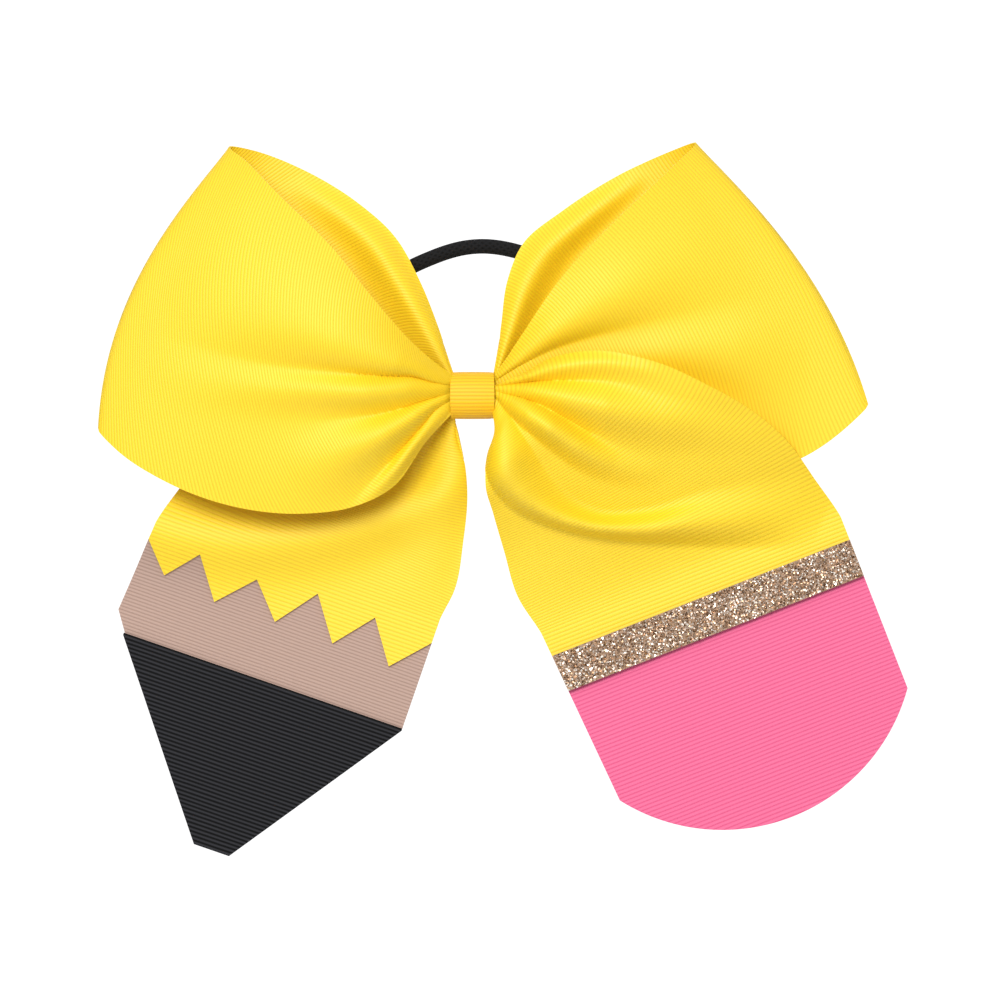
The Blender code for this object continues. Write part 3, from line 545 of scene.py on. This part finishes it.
def loop(name, side, passes, top, bottom, bulge, crown, skew, lobes, back_lobes):
    """Both panels of a loop as one strip, from its front root round the fold to its back root.

    top and bottom are the selvedges' bends before and after the fold. bulge is how far the fold
    bows outwards and crown how far the front panel bows forwards, in millimetres. skew slants the
    ribs, as a share of the ribbon's width.
    """
    panel_rows = LOOP_ROWS
    columns = LOOP_COLUMNS
    near_root = np.linspace(0, 1, panel_rows) ** ROW_CROWDING
    rows = []
    for up, (first, second) in ((1, top), (-1, bottom)):
        line = [root(side, passes[0], up)] + selvedge(first + second) + [root(side, passes[1], up)]
        whole = eased(smooth_curve(line, 800), SELVEDGE_EASING)
        fold = np.argmin(np.linalg.norm(whole - np.array(line[len(first)]), axis=1))
        front, back = evenly(whole[: fold + 1], 400), evenly(whole[fold:], 400)
        rows.append(np.concatenate([at_shares(front, near_root), at_shares(back, 1 - near_root[:-1][::-1])]))
    share = np.linspace(0, 1, columns)
    grid = rows[0][:, None] * (1 - share[None, :, None]) + rows[1][:, None] * share[None, :, None]
    out = np.linspace(-1, 1, len(grid))[:, None]  # 0 at the fold, and positive on the back panel
    away = 1 - np.abs(out)
    on_front, on_back = np.clip(-PANEL_FADE * out, 0, 1), np.clip(PANEL_FADE * out, 0, 1)
    low = share**ARCH_CROWDING
    arch = 4 * low * (1 - low)
    x, z = grid[..., 0].copy(), grid[..., 2].copy()
    grid[..., 1] -= lobe_bulge(x, z, lobes, side) * on_front
    grid[..., 1] -= lobe_bulge(x, z, back_lobes, side) * on_back
    grid[..., 1] -= crown * MM * np.sin(math.pi * away) * arch[None] * on_front
    corner_line = rows[1][len(grid) // 2] - rows[0][len(grid) // 2]
    outward = np.array([corner_line[2], 0, -corner_line[0]]) / np.linalg.norm(corner_line)
    outward *= side * np.sign(outward[0])
    grid += (bulge * MM * np.exp(-((out / FOLD_SPREAD) ** 2)) * arch[None])[..., None] * outward
    across = np.broadcast_to(share * RIBBON_WIDTH, grid.shape[:2])
    mean = (lengths(rows[0]) + lengths(rows[1])) / 2
    along = rib_place(rows[0], rows[1], mean, share) + skew * RIBBON_WIDTH * (share - 0.5)
    return ribbon(name, grid, across, along, YELLOW)


def loops():
    """The left loop, and the right one behind the right tail."""
    d = LOOP_DEPTH / MM
    left = loop(
        "left_loop_ribbon", -1, (FRONT_PASS_Y, MIDDLE_PASS_Y),
        ([(-0.199, -0.52 * d, 0.163), (-0.325, -0.84 * d, 0.307), (-0.453, -d, 0.468),
          (-0.623, -0.79 * d, 0.637), (-0.735, -0.4 * d, 0.752), (-0.791, -0.05 * d, 0.799)],
         [(-0.708, 4, 0.787), (-0.537, 6.5, 0.719), (-0.368, 6, 0.613),
          (-0.257, 5, 0.511), (-0.177, 3.5, 0.367), (-0.113, 1.5, 0.205)]),
        ([(-0.155, -4.3, -0.150), (-0.259, -5.6, -0.296), (-0.376, -6.5, -0.359),
          (-0.535, -6.8, -0.384), (-0.769, -6, -0.363), (-1.005, -5, -0.276),
          (-1.155, -2.5, -0.177), (-1.219, 0, -0.104)],
         [(-1.10, 2, -0.13), (-0.83, 3, -0.175), (-0.55, 2.5, -0.175), (-0.29, 1, -0.12)]),
        bulge=6.6, crown=1.0, skew=0.42, lobes=LEFT_LOOP_LOBES, back_lobes=LEFT_BACK_LOBES,
    )
    d = RIGHT_LOOP_DEPTH / MM
    right = loop(
        "right_loop_ribbon", 1, (MIDDLE_PASS_Y, BACK_PASS_Y),
        ([(0.149, -0.4 * d, 0.180), (0.283, -0.8 * d, 0.376), (0.461, -d, 0.563),
          (0.639, -0.6 * d, 0.732), (0.717, 0.0, 0.813)],
         [(0.639, 4.5, 0.787), (0.461, 7, 0.705), (0.283, 7, 0.591),
          (0.159, 6.5, 0.488), (0.109, 5, 0.368), (0.089, 3.5, 0.220)]),
        ([(0.16, 0.7, -0.11), (0.32, 2, -0.215), (0.56, 2.8, -0.275), (0.80, 3, -0.265),
          (1.056, 2.5, -0.207), (1.239, 1, -0.073), (1.279, 1.5, -0.031)],
         [(1.14, 4, -0.06), (0.86, 6, -0.12), (0.56, 7, -0.14), (0.30, 5.5, -0.10)]),
        bulge=5.1, crown=0.8, skew=0.0, lobes=RIGHT_LOOP_LOBES, back_lobes=RIGHT_BACK_LOBES,
    )
    for piece, node in ((left, "left_loop"), (right, "right_loop")):
        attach(piece, "bow")
        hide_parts(node)


# ---------------------------------------------------------------- tails


LANDING = 0.3  # share of a selvedge over which its depth settles to the flat part's
DEPTH_EASING = 40  # points each way
RIBS_SETTLE = 0.55  # share of the gathered length past which the ribs turn to run straight across


class Tail:
    """A tail's middle surface: v from its outer selvedge to its inner one, and s along it.

    s is measured from the line square across the tail where its inner selvedge ends, and is
    negative towards the pinch. The tail is flat from flat_from on, apart from its lobes. outer and inner are
    the selvedges' bends before there. taper says how far each selvedge leans towards the inner side
    above s = 0, as a slope. billow is the (height, crest, fall, spread) of one soft wave across it,
    or None: its crest is at s = crest on the outer selvedge and fall nearer the pinch on the inner.
    """

    def __init__(self, side, pass_y, run, inner_corner, flat_from, outer, inner, lobes, taper, billow=None):
        self.side, self.lobes, self.taper, self.billow = side, lobes, taper, billow
        self.run = np.array([run[0], 0, run[1]]) / np.linalg.norm(run)
        self.across = np.array([-self.run[2], 0, self.run[0]]) * -side
        self.flat_from = flat_from
        corner = np.array([inner_corner[0] * RIBBON_WIDTH, TAIL_DROP, inner_corner[1] * RIBBON_WIDTH])
        self.outer_corner = corner - self.across * RIBBON_WIDTH
        self.selvedges = []
        for up, bends, v in ((0.5, outer, 0.0), (-1, inner, 1.0)):
            flat, end = (self.plane(np.array(s), np.array(v)) for s in (flat_from, flat_from / 2))
            line = [root(side, pass_y, up)] + selvedge(bends) + [tuple(flat), tuple(end)]
            curve = eased(smooth_curve(line, 1200), SELVEDGE_EASING)
            stop = np.argmin(np.linalg.norm(curve - flat, axis=1))
            curve = evenly(curve[: stop + 1], 600)
            curve[:, 1] = self.landed(curve)
            curve[0, 1] = pass_y
            self.selvedges.append(curve)
        self.gathered_length = (lengths(self.selvedges[0])[-1] + lengths(self.selvedges[1])[-1]) / 2

    def landed(self, curve):
        """The depths along a selvedge, eased so that it runs into the flat part without a kink."""
        depth = curve[:, 1]
        landing = np.clip((lengths(curve) / lengths(curve)[-1] - 1 + LANDING) / LANDING, 0, 1) ** 2
        window = np.hanning(2 * DEPTH_EASING + 1) / DEPTH_EASING
        padded = np.pad(depth, DEPTH_EASING, "edge")
        eased_depth = np.convolve(padded, window, "same")[DEPTH_EASING:-DEPTH_EASING]
        settled = depth * (1 - landing) + TAIL_DROP * landing
        return eased_depth * (1 - landing) + settled * landing

    def plane(self, s, v):
        """A point of the flat part, which is square to the view only at its end, so it tapers above."""
        outer, inner = self.taper
        place = v * RIBBON_WIDTH - s * (outer * (1 - v) + inner * v) * (s < 0)
        return self.outer_corner + self.run * s[..., None] + self.across * place[..., None]

    def shaped(self, grid):
        """The grid with the tail's lobes and its soft wave raised on it."""
        grid[..., 1] -= lobe_bulge(grid[..., 0], grid[..., 2], self.lobes, self.side)
        if self.billow:
            height, crest, fall, spread = self.billow
            from_corner = grid - self.outer_corner
            s = from_corner @ self.run
            v = np.clip(from_corner @ self.across / RIBBON_WIDTH, 0, 1)
            away = (s - crest + fall * v**2) / spread
            grid[..., 1] -= height * np.exp(-(away**2)) * (1 - v**6)
        return grid

    def flat(self, start, end, v, rows):
        """The plain grid from s = start(v) to end(v), and its places across and along the ribbon."""
        share = np.linspace(0, 1, rows)[:, None]
        s = start(v)[None] * (1 - share) + end(v)[None] * share
        place = np.broadcast_to(v, s.shape)
        return self.plane(s, place), place * RIBBON_WIDTH, s + self.gathered_length - self.flat_from

    def flat_piece(self, start, end, v, rows):
        """The same with the tail's shape on it."""
        points, across, along = self.flat(start, end, v, rows)
        return self.shaped(points), across, along

    def whole_piece(self, end, v, rows, flat_rows):
        """The grid and places from the pinch to s = end(v)."""
        share = np.linspace(0, 1, rows)
        outer, inner = (at_shares(line, share)[:, None] for line in self.selvedges)
        gathered = outer * (1 - v[None, :, None]) + inner * v[None, :, None]
        points, across, along = self.flat(constant(self.flat_from), end, v, flat_rows)
        points = np.concatenate([gathered, points[1:]])
        across = np.broadcast_to(v * RIBBON_WIDTH, points.shape[:2])
        mean = share * self.gathered_length
        first = rib_place(outer[:, 0], inner[:, 0], mean, v)
        settled = np.clip((share[:, None] - RIBS_SETTLE) / (1 - RIBS_SETTLE), 0, 1)
        settled = settled**2 * (3 - 2 * settled)
        first = first * (1 - settled) + mean[:, None] * settled
        return self.shaped(points), across, np.concatenate([first, along[1:]])


def constant(value):
    """A line straight across the tail."""
    return lambda v: np.full(len(v), value)


def through(corners):
    """A line across the tail through corners (v, s)."""
    vs, ss = zip(*corners)
    return lambda v: np.interp(v, vs, ss)


def columns_for(corners, step=0.013):
    """v at every corner, and close enough between them."""
    step = step
    vs = [corner[0] for corner in corners]
    pieces = [np.linspace(a, b, max(2, math.ceil((b - a) / step) + 1)) for a, b in zip(vs, vs[1:])]
    return np.unique(np.concatenate(pieces))


def zigzag(base):
    """The corners (v, s) of the teeth, whose roots are near s = base."""
    tooth = 1 / (TOOTH_COUNT - 1 + 0.5 + FIRST_TOOTH)
    corners = [(0, base + TOOTH_DEPTH * (1 - 2 * FIRST_TOOTH) + FIRST_EDGE_OFF)]
    for k in range(TOOTH_COUNT):
        tip = (FIRST_TOOTH + k) * tooth
        corners.append((tip + TIPS_ASIDE[k], base + TOOTH_DEPTH + TIPS_OFF[k]))
        if k < len(ROOTS_OFF):
            corners.append((tip + tooth / 2, base + ROOTS_OFF[k]))
    return corners + [(1, base)]


def fine(rows):
    return rows


def left_tail():
    """The left tail: the toothed yellow ribbon, with the beige behind it and the black point on that."""
    tail = Tail(
        -1, BACK_PASS_Y, LEFT_RUN, LEFT_INNER_CORNER, -(WOOD_LENGTH + UNDERLAP),
        [(-0.12, 3.2, 0), (-0.20, 5, -0.02), (-0.36, 7.8, -0.05), (-0.62, 9.8, -0.11),
         (-0.86, 9.4, -0.188), (-0.957, 8.8, -0.31)],
        [(-0.062, 2.6, -0.080), (-0.050, 3.8, -0.13), (-0.030, 5.6, -0.23),
         (-0.023, 6.6, -0.32), (-0.035, 7.8, -0.476), (-0.062, 8.4, -0.63)],
        LEFT_TAIL_LOBES, taper=(0.08, 0.0), billow=(5.2 * MM, -27 * MM, 38 * MM, 8.5 * MM),
    )
    teeth = zigzag(-WOOD_LENGTH)
    grid, across, along = tail.whole_piece(through(teeth), columns_for(teeth), fine(90), fine(24))
    yellow = ribbon("left_tail_ribbon", grid, across, along, YELLOW)
    middle = 0.5 * RIBBON_WIDTH + POINT_LEAN
    point = [(0, -POINT_SHOULDER), ((middle - POINT_TIP / 2) / RIBBON_WIDTH, POINT_LENGTH),
             ((middle + POINT_TIP / 2) / RIBBON_WIDTH, POINT_LENGTH), (1, EDGE_STEP)]
    v = columns_for([(0, 0), (POINT_SHOULDER / RIBBON_WIDTH, 0)] + point[1:])
    ends = through(point)(v) - EDGE_STEP
    grid, across, along = tail.flat_piece(
        constant(-WOOD_LENGTH - UNDERLAP), lambda at: np.minimum(ends, UNDERLAP), v, fine(34))
    wood = ribbon("wood_ribbon_cloth", grid, across, along, NUDE, layer=-1)
    lead_from = POINT_SHOULDER / (POINT_SHOULDER + POINT_LENGTH) * point[1][0]
    corners = [(lead_from, 2 * EDGE_STEP)] + point[1:3] + [(1, 2 * EDGE_STEP)]
    grid, across, along = tail.flat_piece(constant(0.0), through(corners), columns_for(corners), fine(44))
    lead = ribbon("lead_ribbon_cloth", grid, across, along, BLACK)
    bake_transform(yellow)
    for piece in (wood, lead):
        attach(piece, "left_tail")
    for piece, node, slot, size, area in (
        (yellow, "left_tail", "yellow_ribbon", (0.075, 0.072), 0.0046),
        (wood, "wood_ribbon", "beige_ribbon", (0.075, 0.034), None),
        (lead, "lead_ribbon", "black_ribbon", (0.075, 0.043), 0.45 * 0.075 * 0.043),
    ):
        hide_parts(node)


def right_tail():
    """The right tail: the yellow ribbon, the glitter band across its end and the pink behind it."""
    band_top = -(ERASER_LENGTH + BAND_WIDTH)
    tail = Tail(
        1, FRONT_PASS_Y, RIGHT_RUN, RIGHT_INNER_CORNER, band_top - UNDERLAP,
        [(0.149, -5.5, 0.060), (0.239, -9, 0.109), (0.372, -12, 0.137), (0.571, -13, 0.107),
         (0.760, -11, 0.024), (0.907, -6.5, -0.061), (1.000, -2.5, -0.140), (1.105, 4.5, -0.279)],
        [(0.068, -4, -0.12), (0.044, -6, -0.20), (0.037, -6.5, -0.287), (0.062, -1.5, -0.385),
         (0.098, 4, -0.509), (0.142, 7.2, -0.655)],
        RIGHT_TAIL_LOBES, taper=(0.0, 0.067),
    )
    v = columns_for([(0, 0), (1, 0)])
    grid, across, along = tail.whole_piece(constant(band_top + BAND_WIDTH / 2), v, fine(110), fine(12))
    yellow = ribbon("right_tail_ribbon", grid, across, along, YELLOW)
    grid, across, along = tail.flat_piece(constant(band_top), constant(-ERASER_LENGTH), v, fine(12))
    band = ribbon("glitter_band_cloth", grid, across, along, GLITTER_BASE, layer=1)
    radius = (RIBBON_WIDTH**2 / 4 + ERASER_CROWN**2) / (2 * ERASER_CROWN)

    def round_end(at):
        return np.sqrt(np.maximum(radius**2 - ((at - 0.5) * RIBBON_WIDTH) ** 2, 0)) - (radius - ERASER_CROWN)

    grid, across, along = tail.flat_piece(constant(band_top + EDGE_STEP), round_end, v, fine(56))
    eraser = ribbon("eraser_ribbon_cloth", grid, across, along, PINK, layer=-1)
    flakes = glitter(tail, band_top)
    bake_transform(yellow)
    for piece in (band, eraser, flakes):
        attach(piece, "right_tail")
    for piece, node, slot, size, area in (
        (yellow, "right_tail", "yellow_ribbon", (0.075, 0.098), None),
        (band, "glitter_band", "gold_glitter", None, None),
        (eraser, "eraser_ribbon", "pink_ribbon", (0.075, 0.0576), 0.0037),
    ):
        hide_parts(node)


FLAKE_COUNT, QUICK_FLAKE_COUNT = 7800, 500
FLAKE_RADII = 0.12 * MM, 0.26 * MM
FLAKE_STAND = 0.05 * MM, 0.22 * MM  # how far in front of the band's face the flakes stand
FLAKE_MARGIN = 0.15 * MM
FLAKE_SIDES = 6
FLAKE_TILT = 0.42
FLAKE_SHARES = [0.3, 0.36, 0.24, 0.10]  # of the FLAKES


def glitter(tail, band_top):
    """Small flakes lying at random tilts over the band."""
    rng = np.random.default_rng(7)
    count = FLAKE_COUNT
    s = rng.uniform(band_top + FLAKE_MARGIN, -ERASER_LENGTH - FLAKE_MARGIN, count)
    v = rng.uniform(0.002, 0.998, count)
    centre = tail.plane(s, v)
    centre = tail.shaped(centre[:, None])[:, 0]
    centre[:, 1] += PINCH_Y - LAYER_STEP - THICKNESS / 2 - rng.uniform(*FLAKE_STAND, count)
    size = rng.uniform(*FLAKE_RADII, count)
    tilt = rng.normal(0, FLAKE_TILT, (count, 2))
    turn = rng.uniform(0, math.pi, count)
    corner = np.linspace(0, 2 * math.pi, FLAKE_SIDES, endpoint=False)
    px = size[:, None] * np.cos(corner + turn[:, None])
    pz = size[:, None] * np.sin(corner + turn[:, None])
    py = px * tilt[:, :1] + pz * tilt[:, 1:]
    vertices = centre[:, None] + np.stack([px, py, pz], axis=2)
    mesh = bpy.data.meshes.new("glitter_flakes")
    faces = np.arange(FLAKE_SIDES * count).reshape(-1, FLAKE_SIDES)
    mesh.from_pydata(vertices.reshape(-1, 3).tolist(), [], faces.tolist())
    kind = rng.choice(len(FLAKES), count, p=FLAKE_SHARES)
    obj = linked("glitter_flakes", mesh, *FLAKES)
    mesh.polygons.foreach_set("material_index", kind.astype(np.int32))
    mesh.update()
    return obj


# ---------------------------------------------------------------- middle


def rounded_section(half_height, front, back, corner, steps):
    """A closed round-cornered outline in the YZ plane, from the middle of its back, going down."""
    points = []
    centres = ((back - corner, -half_height + corner, 0), (front + corner, -half_height + corner, 1),
               (front + corner, half_height - corner, 2), (back - corner, half_height - corner, 3))
    for y, z, quarter in centres:
        for k in range(steps + 1):
            angle = -math.pi / 2 * (quarter + k / steps)
            points.append((y + corner * math.cos(angle), z + corner * math.sin(angle)))
    return [(back, 0.0)] + points


WRAP_CORNER = 4.8 * MM
WRAP_ASIDE, WRAP_LOWER = 0.4 * MM, 0.3 * MM  # it sits a little left of the pinch and below it
WRAP_BOW = 0.35 * MM  # how far the middle of its front stands forward of its edges
LAP_START = 2.2 * MM  # below the wrap's top, where the lap's outer layer leaves the inner one
GLUE_HALF_WIDTH, GLUE_HALF_HEIGHT = 4.3 * MM, 1.8 * MM
GLUE_FROM = 0.45 * MM  # from the middle of the lap's inner layer back to the glue
GLUE_DEPTH = 0.25 * MM


def wrap():
    """The narrow ribbon round the pinch, lapped at the back, and the glue in its lap."""
    section = rounded_section(WRAP_HALF_HEIGHT, WRAP_FRONT_Y, WRAP_BACK_Y, WRAP_CORNER, 14)
    lap_y = WRAP_BACK_Y + LAP_STEP
    path = [(WRAP_BACK_Y, WRAP_LAP / 2)] + section + [(WRAP_BACK_Y, WRAP_HALF_HEIGHT - LAP_START)]
    path += [(lap_y, WRAP_LAP / 2), (lap_y, -WRAP_LAP / 2)]
    line = eased(evenly(np.array([(0.0, y, z) for y, z in path]), 260), 10)
    share = np.linspace(-1, 1, 25)
    grid = np.repeat(line[:, None], len(share), axis=1)
    front = np.clip((2 * MM - grid[..., 1]) / (6 * MM), 0, 1)
    grid[..., 0] = share[None] * WRAP_WIDTH / 2 * (1 + 0.02 * np.cos(grid[..., 2] / WRAP_HALF_HEIGHT * 2))
    grid[..., 1] -= WRAP_BOW * (1 - share[None] ** 2) * front
    grid[..., 2] *= 1 + 0.03 * (1 - share[None] ** 4)
    grid[..., 0] -= WRAP_ASIDE
    grid[..., 2] -= WRAP_LOWER
    along = np.broadcast_to(lengths(line)[:, None], grid.shape[:2])
    across = np.broadcast_to((share[None] + 1) * WRAP_WIDTH / 2, grid.shape[:2])
    way = np.gradient(grid, axis=0)
    normal = np.cross(way, np.gradient(grid, axis=1))
    normal /= np.linalg.norm(normal, axis=2, keepdims=True)
    piece = ribbon("wrap_ribbon", grid, across, along, WRAP_YELLOW_SHADED, normal=normal)
    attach(piece, "bow")
    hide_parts("centre_wrap")
    film = bpy.data.meshes.new("glue_film")
    front_y = PINCH_Y + WRAP_BACK_Y + GLUE_FROM
    bm = bmesh.new()
    bmesh.ops.create_cube(bm, size=2)
    for vertex in bm.verts:
        x, y, z = vertex.co
        vertex.co = (GLUE_HALF_WIDTH * x, front_y + GLUE_DEPTH * (y > 0), GLUE_HALF_HEIGHT * z)
    bm.to_mesh(film)
    bm.free()
    film = linked("glue_film", film, GLUE)
    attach(film, "bow")
    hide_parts("wrap_glue")


GATHER_REACH = 4.6 * MM  # each way from the middle
PLEAT_DEPTH = 0.7 * MM
THREAD_HALF_DEPTH, THREAD_CORNER, THREAD_RADIUS = 3.35 * MM, 2.6 * MM, 0.3 * MM
THREAD_CLEAR = 0.6 * MM  # from the gathers to the thread's middle line
THREAD_TURNS, THREAD_STEP = 4, 1 * MM


def gathers():
    """The ribbon's three passes under the wrap, pleated, and the thread that binds them."""
    v = np.linspace(0, 1, 41)
    passes = [("front_gather", FRONT_PASS_Y), ("middle_gather", MIDDLE_PASS_Y), ("back_gather", BACK_PASS_Y)]
    for name, y in passes:
        x = np.linspace(-GATHER_REACH, GATHER_REACH, 8)[:, None]
        grid = np.empty((len(x), len(v), 3))
        grid[..., 0] = x
        grid[..., 1] = y - PLEAT_DEPTH * np.cos(4 * math.pi * v)
        grid[..., 2] = GATHER_HALF * (1 - 2 * v)
        across = np.broadcast_to(v * RIBBON_WIDTH, grid.shape[:2])
        along = np.broadcast_to(x, grid.shape[:2])
        piece = ribbon(name + "_cloth", grid, across, along, YELLOW)
        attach(piece, "bow")
        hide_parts(name)
    ring = rounded_section(
        GATHER_HALF + THREAD_CLEAR, -THREAD_HALF_DEPTH, THREAD_HALF_DEPTH, THREAD_CORNER, 6)
    count = len(ring)
    turns = [(THREAD_STEP * (k / count - THREAD_TURNS / 2), *ring[k % count])
             for k in range(THREAD_TURNS * count + 1)]
    thread = tube("binding_thread_turns", turns, THREAD_RADIUS, 12, THREAD)
    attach(thread, "bow")
    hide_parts("binding_thread")


ELASTIC_HALF_WIDTH, ELASTIC_HEIGHT, ELASTIC_LEAN = 25 * MM, 36 * MM, 5 * MM
ELASTIC_TILT = 0.11  # by which its left side stands lower, as a share
ELASTIC_LEAVES_WRAP = 5.6 * MM
RING_POINTS = 4000  # in its line, before it is divided evenly
SLEEVE_POINTS, SLEEVE_WALL = 10, 0.55 * MM  # points each way from the join, and thickness


def elastic():
    """The hair elastic through the wrap, and the sleeve over its join."""
    half, top, lean = ELASTIC_HALF_WIDTH, ELASTIC_HEIGHT, ELASTIC_LEAN
    right = [(ELASTIC_LEAVES_WRAP, 0, 0),
             (0.44 * half, 0.45 * lean, 0.09 * top), (0.76 * half, 0.7 * lean, 0.25 * top),
             (0.97 * half, 0.85 * lean, 0.45 * top), (half, 0.9 * lean, 0.64 * top),
             (0.79 * half, lean, 0.85 * top), (0.42 * half, lean, 0.965 * top), (0.05 * half, lean, top)]
    left = [(-x, y, z * (1 - ELASTIC_TILT * x / half)) for x, y, z in right[::-1]]
    ring = [(x, ELASTIC_Y + y, z) for x, y, z in [(0, 0, 0)] + right + left]
    join = 4  # the point where the cord's ends meet
    count = len(ring)
    lapped = smooth_curve([ring[(join + k) % count] for k in range(-1, count + 2)], RING_POINTS)
    ends = [np.argmin(np.linalg.norm(part - ring[join], axis=1)) for part in np.split(lapped, 2)]
    line = evenly(lapped[ends[0]:RING_POINTS // 2 + ends[1] + 1], 401)[:-1]
    radius = ELASTIC_DIAMETER / 2
    cord = tube("hair_elastic_cord", line, radius, 32, ELASTIC, closed=True)
    near = np.concatenate([line[1 - SLEEVE_POINTS:], line[:SLEEVE_POINTS]])
    sleeve = tube("elastic_sleeve_shell", evenly(near, 24), radius + SLEEVE_WALL, 40, SLEEVE)
    for piece, node, slot in ((cord, "hair_elastic", "elastic"), (sleeve, "elastic_sleeve", "sleeve")):
        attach(piece, "hair_elastic")
        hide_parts(node)


# ---------------------------------------------------------------- stage


FLOOR_SIZE, FLOOR_Z = 1.3, -0.6
# the sky's strength along an axis: (axis, from, to, strength up to from, strength past to), added up
SKY = [("Y", 0.55, 0.9, 0.34, 1.03), ("Z", -0.4, 0.9, 0.0, 0.45)]
KEY_SIZE, KEY_POWER, KEY_AT = 0.6, 14, (-0.18, -1.24, 0.38)
CAMERA_DISTANCE, CAMERA_FIELD = 3.0, 0.2420  # the field is the width seen at the pinch
CAMERA_X, CAMERA_Z = 0.0063, -0.0256
SENSOR = 36


def stage():
    """A pale floor, a soft light from the front, a sky that is brighter behind, and the camera."""
    scene = bpy.context.scene
    scene.view_settings.view_transform = "Standard"
    scene.view_settings.look = "None"
    bpy.ops.mesh.primitive_plane_add(size=FLOOR_SIZE, location=(0, 0, FLOOR_Z))
    floor = bpy.context.object
    floor.name = "floor"
    n = Nodes("pale_floor", 0.9)
    n.shader.inputs["Base Color"].default_value = (0.8, 0.8, 0.8, 1)
    floor.data.materials.append(n.material)
    world = bpy.data.worlds.new("studio")
    scene.world = world
    world.use_nodes = True
    tree = world.node_tree
    background = tree.nodes["Background"]
    coordinates = tree.nodes.new("ShaderNodeTexCoord")
    split = tree.nodes.new("ShaderNodeSeparateXYZ")
    tree.links.new(coordinates.outputs["Generated"], split.inputs[0])
    parts = []
    for axis, low, high, least, most in SKY:
        ramp = tree.nodes.new("ShaderNodeMapRange")
        ramp.interpolation_type = "SMOOTHSTEP"
        for socket, value in (("From Min", low), ("From Max", high), ("To Min", least), ("To Max", most)):
            ramp.inputs[socket].default_value = value
        tree.links.new(split.outputs[axis], ramp.inputs["Value"])
        parts.append(ramp.outputs[0])
    both = tree.nodes.new("ShaderNodeMath")
    for socket, part in zip(both.inputs, parts):
        tree.links.new(part, socket)
    tree.links.new(both.outputs[0], background.inputs["Strength"])
    background.inputs["Color"].default_value = (1, 1, 1, 1)
    key = bpy.data.lights.new("key", "AREA")
    key.shape = "DISK"
    key.size = KEY_SIZE
    key.energy = KEY_POWER
    lamp = bpy.data.objects.new("key", key)
    lamp.location = KEY_AT
    lamp.rotation_euler = (-Vector(KEY_AT)).to_track_quat("-Z", "Y").to_euler()
    scene.collection.objects.link(lamp)
    camera = bpy.data.cameras.new("camera")
    camera.sensor_width = SENSOR
    camera.lens = CAMERA_DISTANCE * SENSOR / CAMERA_FIELD
    camera.clip_end = 20
    eye = bpy.data.objects.new("camera", camera)
    eye.location = (CAMERA_X, PINCH_Y - CAMERA_DISTANCE, CAMERA_Z)
    eye.rotation_euler = (math.pi / 2, 0, 0)
    scene.collection.objects.link(eye)
    scene.camera = eye


loops()
left_tail()
right_tail()
gathers()
wrap()
elastic()
stage()
